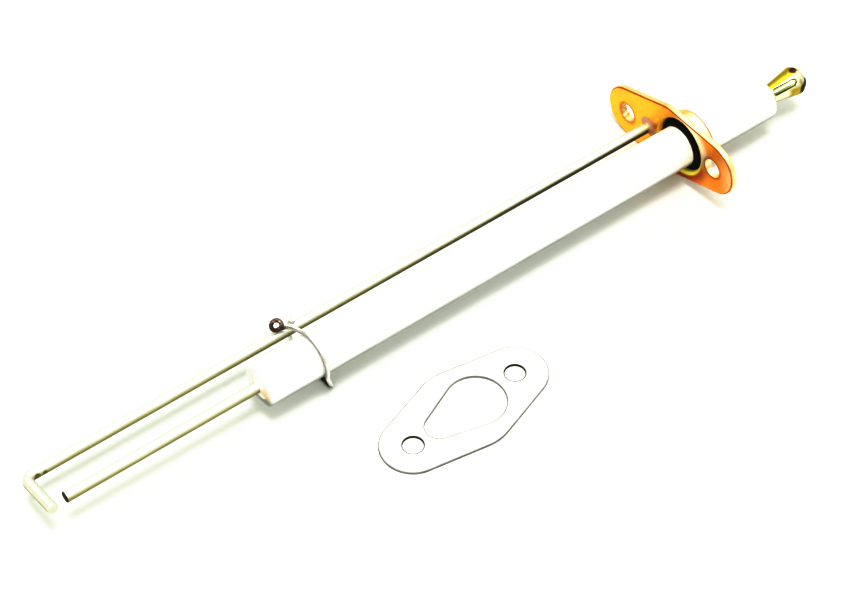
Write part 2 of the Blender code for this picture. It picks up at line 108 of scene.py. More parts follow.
# Grains in a metre along and across the drawn, pressed and fibrous finishes
ROD_LINES = (40, 5000, 5000)
ROD_PATCHES = (90, 260, 260)
COPPER_BLOOM = (110, 110, 110)
COPPER_STREAKS = (300, 500, 2400)
BRASS_LINES = (160, 3000, 3000)
WIRE_LINES = (900, 2200, 2200)
FIBRE_THREADS = ((700, 4200, 900), (4200, 700, 900))

# Marks: where each starts and ends, in metres from the face, line or rim that its finish gives
STAIN_DEPTH = (0.0002, 0.0020)
STAIN_RADIUS = (0.0006, 0.0030)
REAR_MARK_DEPTH = (-0.0011, -0.0006)
REAR_MARK_RIM = (0.0046, 0.0050)
REAR_MARK_SIDE = (0.0040, 0.0046)
LEG_DEPTH = (-0.0012, -0.0008)
LEG_END = (0.0001, 0.0004)
SENSING_SIDE = (0.0020, 0.0024)
TIP_DEPTH = (-0.0008, -0.0005)
CUT_END = (0.0001, 0.0004)
FAR_SIDE = (-0.0060, 0.0140)
NEAR_END = (0.0160, 0.0225)
MOUTH_RIM = (-0.0001, 0)
DRAWN_WIDTH = (0, 0.0035)
SHADE_BELOW = (0, 0.0060)
HIGHLIGHT_WIDTH = (0.0008, 0.0036)
HIGHLIGHT_ABOVE = (-0.0036, 0.0016)
HIGHLIGHT_NEAR = (-0.0020, 0.0020)
HOLE_RIM = (-0.0002, 0)
RING_WIDTH = (0, 0.0011)
LIP_DEPTH = (0.00002, 0.00010)
CUP_START = (0, 0.0005)
CUP_RIM = (-0.0011, -0.0004)
BAND_START = (0, 0.0008)
BAND_BRIGHT = (0.0006, 0.0016)
SKIN_DEPTH = (-0.0005, -0.0002)
DEEP_START = 0.0050
EYE_DEPTH = (0.0030, 0.0040)
FLOOR_RUN_RISE = (0.0012, 0.0018)
FLOOR_RUN_START = (0.0016, 0.0026)
FIBRE_EDGE_RISE = (-0.00010, -0.00002)
FIBRE_HOLE_WIDTH = (0.00005, 0.00030)

# Spots: the middle, then how far the spot is full and how far it reaches
STAIN_MIDDLE = (-0.0032, -0.0010)
UPPER_MARK = ((-0.0004,), 0.001, 0.001732)
NEARER_MARK = ((0.0014,), 0.001414, 0.002236)
BRIGHT_SPOT = ((0.0035, -0.0028, -0.0004), 0.001414, 0.003317)
BURNT_SPOT = ((-0.0015, -0.0005, 0.0040), 0.000707, 0.001612)
BLACK_SPOT = ((0.0004, -0.0036, -0.0006), 0.002, 0.002739)


def middle(node):
    low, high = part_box(node)
    return (low + high) / 2


def height(node):
    low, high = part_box(node)
    return high.z - low.z


# The frame gives the probe's axis, the flange's front face and the line of its screw holes
axis = middle("ceramic_insulator")
earth_axis = middle("earth_braze_ring")
flange_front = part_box("mounting_flange")[0].x
earth_offset = Vector((0, earth_axis.y - axis.y, earth_axis.z - axis.z))
hole_line = earth_offset.normalized()
roll = math.atan2(hole_line.z, hole_line.y)


def length(name, description, default):
    """A distance that a user can change."""
    return FloatProperty(
        name=name, description=description, default=default, min=0, precision=5, unit="LENGTH"
    )


def amount(name, description, default, unit="NONE"):
    """A number that a user can change."""
    return FloatProperty(name=name, description=description, default=default, unit=unit)


def angle(name, description, degrees):
    """An angle that a user can change."""
    return FloatProperty(
        name=name, description=description, default=math.radians(degrees), precision=3, subtype="ANGLE"
    )


def colour(name, description, default):
    """A linear colour that a user can change."""
    return FloatVectorProperty(
        name=name, description=description, default=default, min=0, max=1, size=3, subtype="COLOR"
    )


class ProbeSizes(bpy.types.PropertyGroup):
    """Lengths of the pieces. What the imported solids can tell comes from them."""

    ceramic_diameter: length("Ceramic diameter", "Across the glazed tube", height("ceramic_insulator"))
    ceramic_front_round: length("Ceramic front round", "Radius of the front rim", 0.0006)
    ceramic_rear_round: length("Ceramic rear round", "Radius of the rear rim", 0.0015)
    cement_diameter: length(
        "Cement diameter", "Across the cement in both ends", height("front_cement") + CEMENT_SPREAD
    )
    cement_crown: length("Cement crown", "How far the front cement climbs the rod", 0.0005)

    rod_diameter: length("Rod diameter", "Across both rods", 0.0030)
    rod_end_round: length("Rod end round", "Radius of a rod's cut rim", 0.00025)
    earth_bend: length("Earth bend", "Radius of the earth rod's bend on its centre line", 0.0024)
    earth_leg_past: length("Leg past axis", "How far the earth rod's leg runs past the axis", 0.0015)
    dent_radius: length("Dent radius", "Radius of the bending tool's first mark", 0.0012)
    dent_depth: length("Dent depth", "Depth of the bending tool's marks", 0.00028)
    dent_turn: angle("Dent turn", "Turn of the marks below the rod's inner side", 6)
    dent_start: length("Dent start", "From the bend to the bending tool's first mark", 0.0004)
    dent_pitch: length("Dent pitch", "Distance between the bending tool's marks", 0.0022)

    plate_thickness: length("Plate thickness", "Thickness of the flange's plate", 0.0020)
    plate_shift: length("Plate shift", "From the axis to the middle of the screw holes", 0.00385)
    plate_waist: length("Plate waist", "Radius of the flange's rim at its middle", 0.0109)
    plate_ear: length("Plate ear", "Radius of the flange's rim at a screw hole", 0.00785)
    plate_edge: length("Plate edge", "Radius of the plate's rounded rims", 0.00050)
    hole_spacing: length("Hole spacing", "Between the screw holes", 0.0350)
    hole_diameter: length("Hole diameter", "Across a screw hole", 0.0055)
    hole_roll: length("Hole roll", "Radius of a screw hole's rolled entry", 0.00015)

    cup_bore: length("Cup bore", "Radius of the drawn cup's inside", 0.0079)
    cup_radius: length("Cup radius", "Radius of the drawn cup's outside", 0.0087)
    cup_floor: length("Cup floor", "Thickness of the cup's floor", 0.0005)
    cup_short: length("Cup short", "How far the drawn cup stays inside its packed solid", 0.0010)
    cup_round: length("Cup round", "Radius of the cup's rear rim", 0.0012)
    cup_fillet: length("Cup fillet", "Radius from the plate to the cup", 0.0009)
    mouth_round: length("Mouth round", "Radius of the bell mouth", 0.0014)
    mouth_shift: length("Mouth shift", "From the ceramic's axis to the middle of the bell mouth", 0.0006)

    packing_recess: length("Packing recess", "From the plate's face to the packing at the ceramic", 0.00005)
    packing_slope: length("Packing slope", "How much deeper the packing lies at the cup", 0.0013)
    braze_foot: length("Braze foot", "Radius of the braze on the plate", 0.0031)
    braze_height: length("Braze height", "How far the braze climbs the earth rod", 0.0015)

    head_diameter: length("Rivet head", "Across the stud's riveted head", 0.0071)
    head_thickness: length("Rivet head thickness", "Height of the stud's riveted head", 0.0017)
    core_diameter: length("Stud core", "Across the stud inside the cage", 0.0030)
    stud_neck: length("Stud neck", "Length of the stud behind the ceramic", 0.0003)
    cage_neck: length("Cage neck", "Radius of the cage at its collar", 0.0026)
    cage_belly: length("Cage belly", "Radius over the leaves", height("terminal_cage") / 2 + LEAF_SPREAD)
    cage_tip: length("Cage tip", "Radius at the rivet head", 0.0037)
    cage_flare: length("Cage flare", "Length over which the leaves swell", 0.0102)
    cage_dome: length("Cage dome", "Length over which the leaves close", 0.0010)
    cage_wall: length("Cage wall", "Thickness of a leaf", 0.0006)
    cage_gap: length("Cage gap", "Between a leaf and the stud", 0.0004)
    cage_collar: length("Cage collar", "Length of the closed collar", 0.0006)
    cage_band: length("Cage band", "Length of the closed band behind the leaves", 0.0022)
    slot_width: length("Slot width", "Between two leaves", 0.0022)
    slot_margin: length("Slot margin", "From the collar to a slot", 0.0003)
    slot_turn: angle("Slot turn", "Turn of the first slot from the line of the screw holes", 22)
    slot_count: IntProperty(name="Slots", description="Slots round the cage", default=3, min=2)

    gasket_waist: length("Gasket waist", "Radius of the gasket's rim at its middle", 0.0131)
    gasket_ear: length("Gasket ear", "Radius of the gasket's rim at a screw hole", 0.00875)
    gasket_mouth: length("Gasket mouth", "Radius of the opening round the ceramic", 0.0080)
    gasket_toe: length("Gasket toe", "Radius of the opening round the earth rod", 0.0039)
    gasket_edge: length("Gasket edge", "Width of the gasket's crushed rims", 0.00060)
    gasket_crush: length("Gasket crush", "Depth of the gasket's crushed rims", 0.00010)
    gasket_turn: angle("Gasket turn", "Turn of the gasket beside the probe", 4.67)
    wire_swell: length("Wire swell", "Makes up for the wire's loss of girth when it is smoothed", 0.000065)


class ProbeColours(bpy.types.PropertyGroup):
    """Colours of the finishes."""

    glaze: colour("Glaze", "White glaze of the ceramic", (0.90, 0.90, 0.885))
    # Painted shade along the ceramic's lower flank
    painted_underside_shade: colour("Smear", "Grey smear along the ceramic's lower flank", (0.12, 0.125, 0.09))
    # Stained cement on the ceramic's front, with painted shade below the rod
    stain_and_shade: colour("Stain", "Cement stain on the ceramic's front", (0.80, 0.52, 0.20))
    rod: colour("Rod", "Drawn rod", (0.70, 0.70, 0.63))
    # Straw tint of heat along the fine lines, also painted as shade over the rods' lower half
    rod_tint: colour("Rod tint", "Straw tint of heat on the rods", (0.54, 0.48, 0.23))
    # Painted shade along the rods' lower flank
    painted_rod_shade: colour("Rod shade", "Olive oxide along the rods' lower flank", (0.27, 0.25, 0.12))
    # Painted shade in the tool's marks, and a painted dark reflection on the ceramic's rear rim
    rod_brown: colour("Rod brown", "Brown in the tool's marks and on the rear rim", (0.17, 0.14, 0.04))
    # Dark oxide in pits and on cut ends, also painted as shade beside the ceramic, in the gasket's holes and
    # under the clip
    shade_and_oxide: colour("Oxide", "Dark oxide on cut ends and in pits", (0.030, 0.028, 0.022))
    copper: colour("Copper", "Copper plating", (0.93, 0.32, 0.02))
    # Golden bloom at random, also painted as reflection on the far ear and the lip
    copper_gold_and_sheen: colour("Copper gold", "Golden bloom of the plating", (1.0, 0.54, 0.04))
    copper_salmon: colour("Copper salmon", "Thin plating at the near end", (0.95, 0.66, 0.40))
    # Painted highlight on the plate's rim and on the cup
    copper_pale: colour("Copper pale", "Rubbed rim and cup of the plating", (0.95, 0.76, 0.42))
    # Painted highlight above the mouth and on the far walls of the screw holes
    copper_bright: colour("Copper bright", "Rubbed band round the mouth", (0.95, 0.85, 0.62))
    # Painted highlight in the bell mouth's lower crescent
    copper_lip: colour("Copper lip", "Yellow crescent of the bell mouth", (1.0, 0.86, 0.08))
    # Brown drawing marks and specks, also painted as shade round the mouth, the holes and the rims
    copper_brown: colour("Copper brown", "Brown drawing marks", (0.45, 0.075, 0.003))
    braze: colour("Braze", "Braze fillet", (0.62, 0.33, 0.19))
    braze_grey: colour("Braze grey", "Flux grey on the braze", (0.50, 0.40, 0.36))
    packing: colour("Packing", "Black packing", (0.005, 0.005, 0.005))
    cement: colour("Cement", "Electrode cement", (0.90, 0.88, 0.84))
    brass: colour("Brass", "Bright brass", (0.50, 0.37, 0.03))
    # Painted highlight beside the slots, on the stud between the leaves, in a spot and on the band
    brass_pale: colour("Brass pale", "Rubbed brass beside the slots and on the band", (0.95, 0.92, 0.74))
    brass_burn: colour("Brass burnt", "Burnt marks on the terminal's end", (0.08, 0.022, 0.006))
    # Painted shade inside the cage
    brass_inside_shade: colour("Brass deep", "Inside of the cage", (0.26, 0.27, 0.11))
    # Tarnish at random, also painted as shade on the brass's underside
    brass_brown: colour("Brass brown", "Tarnish on the brass", (0.22, 0.15, 0.03))
    wire: colour("Wire", "Bright spring wire", (0.83, 0.82, 0.80))
    # Painted dark reflection at the wire's eye
    wire_brown: colour("Wire brown", "Heat tint at the wire's eye", (0.10, 0.055, 0.038))
    fibre: colour("Fibre", "White fibre sheet", (0.90, 0.90, 0.885))
    # Grey of the fibre's threads and mottle, also painted as shade on the gasket's cut edges
    fibre_edge: colour("Fibre edge", "Cut edge of the fibre sheet", (0.075, 0.075, 0.07))
    floor: colour("Floor", "Plain pale floor", (0.90, 0.90, 0.90))
    room: colour("Room", "Light of the room", (0.955, 1.0, 0.89))


class ProbeStage(bpy.types.PropertyGroup):
    """Camera and light."""

    azimuth: angle("Azimuth", "Camera's turn round the probe", -37.306)
    elevation: angle("Elevation", "Camera's height angle", 48.906)
    distance: length("Distance", "From the camera to the floor along its view", 0.66883)
    aim: FloatVectorProperty(
        name="Aim",
        description="Point of the floor at the middle of the picture",
        default=(flange_front - AIM_AHEAD, axis.y + AIM_BESIDE, 0),
        subtype="TRANSLATION",
        unit="LENGTH",
    )
    lens: amount("Lens", "Focal length on a 36 mm film", 106.97, "CAMERA")
    key_power: amount("Key power", "Power of the soft box", 28.5, "POWER")
    key_size: length("Key size", "Side of the soft box", 0.78)
    key_distance: length("Key distance", "From the soft box to the aim", 2.50)
    overhead: amount("Overhead", "Light of the room from straight above", 0.98)
    horizon: amount("Horizon", "Light of the room from its walls", 0.50)
    mirrored: amount("Mirrored", "Light of the walls as bright metal shows it", 0.70)
    ceiling: amount("Ceiling", "Light that the ceiling adds in bright metal", 3.2)


class Signal:
    """A shader socket that takes arithmetic: each expression adds the Math nodes that work it out."""

    def __init__(self, board, socket):
        self.board = board
        self.socket = socket

    def math(self, operation, other=0, flipped=False):
        pair = (other, self) if flipped else (self, other)
        return self.board.node("ShaderNodeMath", {"operation": operation}, dict(enumerate(pair)))

    def __add__(self, other):
        return self.math("ADD", other)

    def __sub__(self, other):
        return self.math("SUBTRACT", other)

    def __rsub__(self, other):
        return self.math("SUBTRACT", other, True)

    def __mul__(self, other):
        return self.math("MULTIPLY", other)

    def __truediv__(self, other):
        return self.math("DIVIDE", other)

    def __pow__(self, other):
        return self.math("POWER", other)

    def __neg__(self):
        return self * -1

    __radd__ = __add__
    __rmul__ = __mul__


class Board:
    """A node tree whose nodes are made one call at a time."""

    def __init__(self, tree):
        self.tree = tree

    def feed(self, socket, value):
        """Links a signal to a socket, or sets the socket to a number, a vector or a colour without alpha."""
        if isinstance(value, Signal):
            self.tree.links.new(value.socket, socket)
        elif socket.type == "RGBA":
            socket.default_value = (*value, 1)
        else:
            socket.default_value = value

    def node(self, kind, settings=None, sockets=None, output=0):
        """Makes any node: its settings are set first, then its sockets get values or links."""
        made = self.tree.nodes.new(kind)
        for key, value in (settings or {}).items():
            setattr(made, key, value)
        for key, value in (sockets or {}).items():
            self.feed(made.inputs[key], value)
        return Signal(self, made.outputs[output])

    def parts(self, place):
        """The three coordinates of a place."""
        split = self.node("ShaderNodeSeparateXYZ", None, {"Vector": place})
        outputs = split.socket.node.outputs
        return [Signal(self, outputs[name]) for name in "XYZ"]


class Finish(Board):
    """A material with one Principled shader, whose base colour is covered layer by layer."""

    def __init__(self, name, base):
        self.material = bpy.data.materials.new(name)
        self.material.use_nodes = True
        super().__init__(self.material.node_tree)
        self.base = base
        self.object_place = self.node("ShaderNodeTexCoord", output="Object")

    def mapped(self, place, location=(0, 0, 0), turn=(0, 0, 0), scale=(1, 1, 1)):
        """Coordinates about a place, turned with it, and stretched."""
        about = {"Vector": place, "Location": location, "Rotation": turn}
        moved = self.node("ShaderNodeMapping", {"vector_type": "TEXTURE"}, about)
        return self.node("ShaderNodeMapping", {"vector_type": "POINT"}, {"Vector": moved, "Scale": scale})

    def on_probe(self, scale=(1, 1, 1)):
        """Coordinates along the axis from the flange's face, along the hole line, and across both."""
        return self.mapped(self.object_place, (flange_front, axis.y, axis.z), (roll, 0, 0), scale)

    def noise(self, place, scale, detail=3.0, roughness=0.5):
        sockets = {"Vector": place, "Scale": scale, "Detail": detail, "Roughness": roughness}
        return self.node("ShaderNodeTexNoise", None, sockets)

    def cloud(self, grains, detail=3.0, roughness=0.5):
        """Noise with so many grains in a metre."""
        return self.noise(self.object_place, grains, detail, roughness)

    def ease(self, value, low, high):
        """0 below low, 1 above high and a smooth step between them."""
        sockets = {"Value": value, "From Min": low, "From Max": high}
        return self.node("ShaderNodeMapRange", {"interpolation_type": "SMOOTHSTEP"}, sockets)

    def fade(self, value, low, high):
        """1 below low, 0 above high and a smooth step between them."""
        return 1 - self.ease(value, low, high)

    def near(self, place, center, inner, outer, ragged=1):
        """1 within the inner distance of a point and 0 beyond the outer one, with a ragged edge if asked."""
        return self.fade(square_from(place, center) * ragged, inner**2, outer**2)

    def mix(self, share, first, second):
        """A colour between two others."""
        return self.node("ShaderNodeMix", {"data_type": "RGBA"}, {0: share, 6: first, 7: second}, 2)

    def cover(self, share, tint):
        """Lays a colour over the base colour."""
        self.base = self.mix(share, self.base, tint)

    def bump(self, value, distance, strength):
        sockets = {"Height": value, "Distance": distance, "Strength": strength}
        return self.node("ShaderNodeBump", None, sockets, "Normal")

    def done(self, **sockets):
        """Feeds the shader's own sockets, named in lower case with underscores, and gives the material."""
        shader = self.tree.nodes["Principled BSDF"]
        named = {socket.name.lower().replace(" ", "_"): socket for socket in shader.inputs}
        for key, value in {"base_color": self.base, **sockets}.items():
            self.feed(named[key], value)
        return self.material


def colours():
    return bpy.context.scene.probe_colours


def lengths():
    return bpy.context.scene.probe_sizes


def reach(node):
    """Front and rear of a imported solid, along the axis from the flange's face."""
    low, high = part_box(node)
    return low.x - flange_front, high.x - flange_front


def square_from(place, center):
    """Square of the distance from a point, over as many coordinates as the place has."""
    squares = [(value - at) ** 2 for value, at in zip(place, center)]
    return sum(squares[1:], squares[0])


def earth_bend_x():
    """Where along X the earth rod's bend starts."""
    size = lengths()
    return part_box("earth_electrode")[0].x + size.rod_diameter / 2 + size.earth_bend


def dents():
    """Place along X and radius of the bending tool's two marks behind the earth rod's bend."""
    size = lengths()
    first = earth_bend_x() + size.dent_start
    return (first, size.dent_radius), (first + size.dent_pitch, size.dent_radius * SECOND_DENT)


def front_stain_and_shade(finish, along, across, up):
    """Share of the soft tan patch on one side of the ceramic's front: stained cement with painted shade
    below the rod.
    """
    near_front = finish.fade(along - reach("ceramic_insulator")[0], *STAIN_DEPTH)
    from_middle = square_from((across, up), STAIN_MIDDLE) ** 0.5
    patch = finish.ease(finish.cloud(STAIN_GRAINS, 4), 0.20, 0.70)
    return near_front * finish.fade(from_middle, *STAIN_RADIUS) * (0.45 + 0.5 * patch)


def glaze_finish():
    """White glaze with pits, painted shade on the lower flank, a stained front with painted shade below the
    rod, and a painted dark reflection on the rear rim.
    """
    paint = colours()
    finish = Finish("white_glaze", paint.glaze)
    along, across, up = finish.parts(finish.on_probe())
    cloud = finish.cloud(GLAZE_GRAINS)
    finish.cover(cloud * 0.06, paint.cement)
    # Stained front with painted shade below the rod
    finish.cover(front_stain_and_shade(finish, along, across, up), paint.stain_and_shade)
    pits = finish.fade(finish.cloud(PIT_GRAINS, 2), 0.24, 0.29)
    finish.cover(pits * 0.25, paint.shade_and_oxide)

    below = up * (-2 / lengths().ceramic_diameter)
    # Painted shade: grey over the lower flank, a little lighter again at the very bottom
    painted_underside_shade = finish.ease(below, 0.18, 0.58) * (1 - 0.5 * finish.ease(below, 0.66, 0.95))
    finish.cover(painted_underside_shade * (0.65 + 0.4 * cloud), paint.painted_underside_shade)

    # Painted dark reflection of the terminal on the rear rim, on either side of it
    near_rear = finish.ease(along - reach("ceramic_insulator")[1], *REAR_MARK_DEPTH)
    rim = near_rear * finish.ease((across**2 + up**2) ** 0.5, *REAR_MARK_RIM)
    upper = finish.ease(up, *REAR_MARK_SIDE) * finish.near([across], *UPPER_MARK)
    nearer = finish.ease(-across, *REAR_MARK_SIDE) * finish.near([up], *NEARER_MARK)
    broken = finish.ease(finish.cloud(REAR_MARK_GRAINS), 0.34, 0.62)
    finish.cover(rim * (upper + nearer) * broken * 0.85, paint.rod_brown)
    return finish.done(
        roughness=0.24 + 0.16 * cloud,
        coat_weight=0.15,
        coat_roughness=0.08,
        normal=finish.bump(finish.cloud(RIPPLE_GRAINS, 2), 0.00003, 0.5),
    )


def rod_finish():
    """Drawn rod: fine lines, a straw tint, painted straw and olive shade on the lower flank, painted brown
    shade in the tool's marks and a dark cut end.
    """
    paint = colours()
    size = lengths()
    finish = Finish("drawn_rod", paint.rod)
    along, across, up = finish.parts(finish.on_probe())
    lines = finish.noise(finish.on_probe(ROD_LINES), 1, 4)
    patches = finish.noise(finish.on_probe(ROD_PATCHES), 1, 4)
    radius = size.rod_diameter / 2
    below = up * (-1 / radius)
    # Painted shade: straw over the lower half
    finish.cover(finish.ease(below + 0.4 * patches, -0.45, 0.15) * 0.9, paint.rod_tint)
    finish.cover(finish.ease(lines, 0.55, 0.80) * 0.30, paint.rod_tint)

    # Painted shade on the lower flank, darker beside the ceramic; the leg's end keeps the plain rod colour
    ceramic_front = reach("ceramic_insulator")[0]
    deep = finish.ease(along, ceramic_front, ceramic_front / 8) * 0.8
    shade = finish.mix(deep, paint.painted_rod_shade, paint.shade_and_oxide)
    past_tip = along - reach("sensing_electrode")[0]
    leg_end = finish.fade(past_tip, *LEG_DEPTH) * finish.fade(across + size.earth_leg_past, *LEG_END)
    flank = finish.ease(below + 0.25 * patches + 0.25 * deep, -0.22, 0.22) * (1 - leg_end)
    finish.cover(flank, shade)
    finish.cover(leg_end * (0.3 + 0.7 * patches), paint.rod)

    # Painted shade: brown in the hollows of the bending tool's marks
    marks = 0.0
    inner = earth_offset.length - radius * math.cos(size.dent_turn)
    lower = radius * math.sin(size.dent_turn)
    for x, dent_radius in dents():
        from_dent = square_from((along, across, up), (x - flange_front, inner, -lower)) ** 0.5
        marks = finish.fade(from_dent, 0.55 * dent_radius, 1.1 * dent_radius) + marks
    finish.cover(marks, paint.rod_brown)

    sensing = finish.fade(across, *SENSING_SIDE) * finish.ease(past_tip, *TIP_DEPTH)
    end = finish.fade(past_tip, *CUT_END) * sensing
    finish.cover(end, paint.shade_and_oxide)
    return finish.done(
        metallic=0.6,
        roughness=0.30 + 0.18 * lines + 0.3 * end,
        normal=finish.bump(lines + 0.6 * patches, 0.00004, 0.6),
    )


def copper_finish():
    """Copper plating on pressed steel: golden bloom, brown drawing marks, painted shade and highlights round
    the mouth, holes and rims, and a painted yellow highlight on the lip.
    """
    paint = colours()
    size = lengths()
    finish = Finish("copper_plate", paint.copper)
    along, across, up = finish.parts(finish.on_probe())
    bloom = finish.noise(finish.on_probe(COPPER_BLOOM), 1, 4)
    streaks = finish.noise(finish.on_probe(COPPER_STREAKS), 1, 5)
    far_side = finish.ease(across, *FAR_SIDE)
    # Golden bloom at random, with a painted reflection that makes the far ear more golden
    finish.cover(finish.ease(bloom + 0.40 * far_side, 0.38, 0.92), paint.copper_gold_and_sheen)
    finish.cover(finish.ease(-across, *NEAR_END) * (0.50 + 0.6 * bloom), paint.copper_salmon)
    finish.cover(finish.ease(streaks, 0.56, 0.78) * 0.35, paint.copper_brown)

    # Round the mouth: a brown ring, with painted shade below and a painted highlight above
    shift = size.mouth_shift / 2**0.5
    mouth = size.cup_bore + size.mouth_round
    past_mouth = square_from((across, up), (-shift, shift)) ** 0.5 - mouth
    outside = finish.ease(past_mouth, *MOUTH_RIM)
    drawn = outside * finish.fade(past_mouth, *DRAWN_WIDTH)
    below = finish.ease(-up, *SHADE_BELOW)
    finish.cover(drawn * (0.25 + 0.65 * below) * (0.5 + bloom), paint.copper_brown)
    highlight_above = finish.fade(past_mouth, *HIGHLIGHT_WIDTH) * finish.ease(up, *HIGHLIGHT_ABOVE)
    highlight_above = highlight_above * finish.ease(-across, *HIGHLIGHT_NEAR)
    finish.cover(highlight_above * (0.55 + 0.6 * bloom), paint.copper_bright)

    # Painted shade in brown rings round the screw holes, and painted light and shade on their walls
    holes = 0.0
    rings = 0.0
    for side in (-1, 1):
        hole = (size.plate_shift + side * size.hole_spacing / 2, 0)
        past_roll = square_from((across, up), hole) ** 0.5 - (size.hole_diameter / 2 + size.hole_roll)
        beyond = finish.ease(past_roll, *HOLE_RIM)
        holes = (1 - beyond) + holes
        rings = beyond * finish.fade(past_roll, *RING_WIDTH) + rings
    finish.cover(rings * (0.3 + 0.9 * streaks), paint.copper_brown)
    wall = finish.mix(far_side * finish.ease(streaks, 0.35, 0.65), paint.copper_bright, paint.copper_brown)
    finish.cover(holes * 0.85, wall)

    # The plate's rim has a painted pale highlight, with a painted brown shade line along its front edge
    edge = size.plate_edge
    thickness = size.plate_thickness
    plain = outside * (1 - holes)
    back = finish.ease(along, thickness - 0.6 * edge, thickness - 0.1 * edge)
    rim = finish.ease(along, 0.5 * edge, edge) * (1 - back) * plain
    finish.cover(rim * (0.70 + 0.45 * bloom), paint.copper_pale)
    line = finish.ease(along, 0.01 * edge, 0.08 * edge) * finish.fade(along, 0.45 * edge, 0.8 * edge)
    finish.cover(line * plain * (0.55 + 0.6 * streaks), paint.copper_brown)

    # The lip is painted golden with a painted yellow highlight in its lower crescent, and the cup behind the
    # plate is painted pale as a highlight
    behind = finish.ease(along - thickness, *CUP_START)
    lip = finish.ease(along, *LIP_DEPTH) * (1 - outside) * (1 - behind)
    crescent = lip * finish.ease((across + up) * (-1 / mouth), 0.30, 1.0)
    finish.cover(lip * 0.8, paint.copper_gold_and_sheen)
    finish.cover(crescent, paint.copper_lip)
    finish.cover(behind * (0.30 + 0.5 * bloom), paint.copper_pale)
    # Painted shade: a brown line on the cup's rear rim
    rear_rim = finish.ease(along - (reach("mounting_flange")[1] - size.cup_short), *CUP_RIM)
    finish.cover(rear_rim * (0.4 + 0.8 * streaks), paint.copper_brown)
    specks = finish.fade(finish.cloud(SPECK_GRAINS, 2), 0.27, 0.33)
    finish.cover(specks * 0.6, paint.copper_brown)
    return finish.done(
        metallic=1 - 0.85 * crescent,
        roughness=0.20 + 0.20 * bloom + 0.12 * streaks,
        normal=finish.bump(2.0 * bloom + 0.25 * streaks, 0.00022, 0.5),
    )


def braze_finish():
    """Braze with flux grey in its hollows."""
    paint = colours()
    finish = Finish("braze", paint.braze)
    cloud = finish.cloud(BRAZE_GRAINS, 4)
    finish.cover(finish.ease(cloud, 0.50, 0.72), paint.braze_grey)
    normal = finish.bump(cloud, 0.00012, 0.7)
    return finish.done(metallic=0.7, roughness=0.38 + 0.25 * cloud, normal=normal)


def packing_finish():
    """Black packing with a coarse broken surface."""
    paint = colours()
    finish = Finish("black_packing", paint.packing)
    grain = finish.cloud(PACKING_GRAINS, 5, 0.65)
    finish.cover(finish.ease(grain, 0.62, 0.74) * 0.12, paint.braze_grey)
    normal = finish.bump(grain, 0.00025, 0.8)
    return finish.done(roughness=0.78 + 0.2 * grain, specular_ior_level=0.12, normal=normal)


def cement_finish():
    """Dull cement with sandy grains and a stained front with painted shade below the rod."""
    paint = colours()
    finish = Finish("electrode_cement", paint.cement)
    grain = finish.cloud(CEMENT_GRAINS, 4, 0.6)
    finish.cover(finish.ease(grain, 0.60, 0.72) * 0.4, paint.glaze)
    finish.cover(front_stain_and_shade(finish, *finish.parts(finish.on_probe())), paint.stain_and_shade)
    return finish.done(roughness=0.80 + 0.15 * grain, normal=finish.bump(grain, 0.00012, 0.7))


def brass_finish():
    """Bright brass: painted highlights beside the slots, painted shade inside the cage and below, tarnish,
    and burnt at the rear.
    """
    paint = colours()
    size = lengths()
    finish = Finish("bright_brass", paint.brass)
    along, across, up = finish.parts(finish.on_probe())
    out = (across**2 + up**2) ** 0.5
    lines = finish.noise(finish.on_probe(BRASS_LINES), 1, 4)
    cloud = finish.cloud(BRASS_GRAINS)
    front, rear = reach("terminal_cage")
    past_leaves = along - (rear - size.cage_band)
    closed = finish.ease(past_leaves, *BAND_START)
    swell = ((along - front).math("MAXIMUM") / size.cage_flare) ** FLARE_POWER
    skin = size.cage_neck + (size.cage_belly - size.cage_neck) * swell
    inside = finish.fade(out - skin, *SKIN_DEPTH) * (1 - closed)

    # Round the cage, from_leaf goes from 0 at a leaf's middle to 0.5 at a slot's
    turn = up.math("ARCTAN2", across) - size.slot_turn
    cell = (turn * (size.slot_count / math.tau)).math("FRACT")
    from_leaf = ((cell - 0.5) ** 2) ** 0.5
    # Painted highlights: a pale strip on the stud between the leaves, pale strips beside the slots, a spot
    # and the band
    pin = inside * finish.ease(from_leaf, 0.432, 0.462)
    slot_edge_highlight = finish.ease(from_leaf + 0.12 * cloud, 0.31, 0.41)
    finish.cover(slot_edge_highlight * (0.95 - 0.8 * closed), paint.brass_pale)
    for bright in (
        finish.near((along - front, across, up), *BRIGHT_SPOT),
        finish.ease(past_leaves, *BAND_BRIGHT),
    ):
        finish.cover(bright * (0.45 + 0.7 * cloud), paint.brass_pale)
    # Painted shade on the underside, then tarnish at random
    finish.cover(finish.ease(-up / out, 0.20, 0.62) * (0.3 + 0.7 * cloud), paint.brass_brown)
    finish.cover(finish.ease(cloud, 0.52, 0.74) * 0.4, paint.brass_brown)

    from_rear = (along - rear, across, up)
    finish.cover(finish.near(from_rear, *BURNT_SPOT, 0.6 + 1.2 * cloud), paint.brass_burn)
    finish.cover(finish.near(from_rear, *BLACK_SPOT), paint.shade_and_oxide)
    # Painted shade inside the cage, lighter towards the rear
    fading = finish.ease(along, rear - size.cage_band, front + DEEP_START)
    finish.cover(inside * (0.65 + 0.3 * fading), paint.brass_inside_shade)
    finish.cover(pin, paint.brass_pale)
    return finish.done(
        metallic=1.0,
        roughness=0.12 + 0.14 * lines + 0.2 * inside * (1 - pin),
        normal=finish.bump(lines + 0.5 * cloud, 0.00005, 0.6),
    )


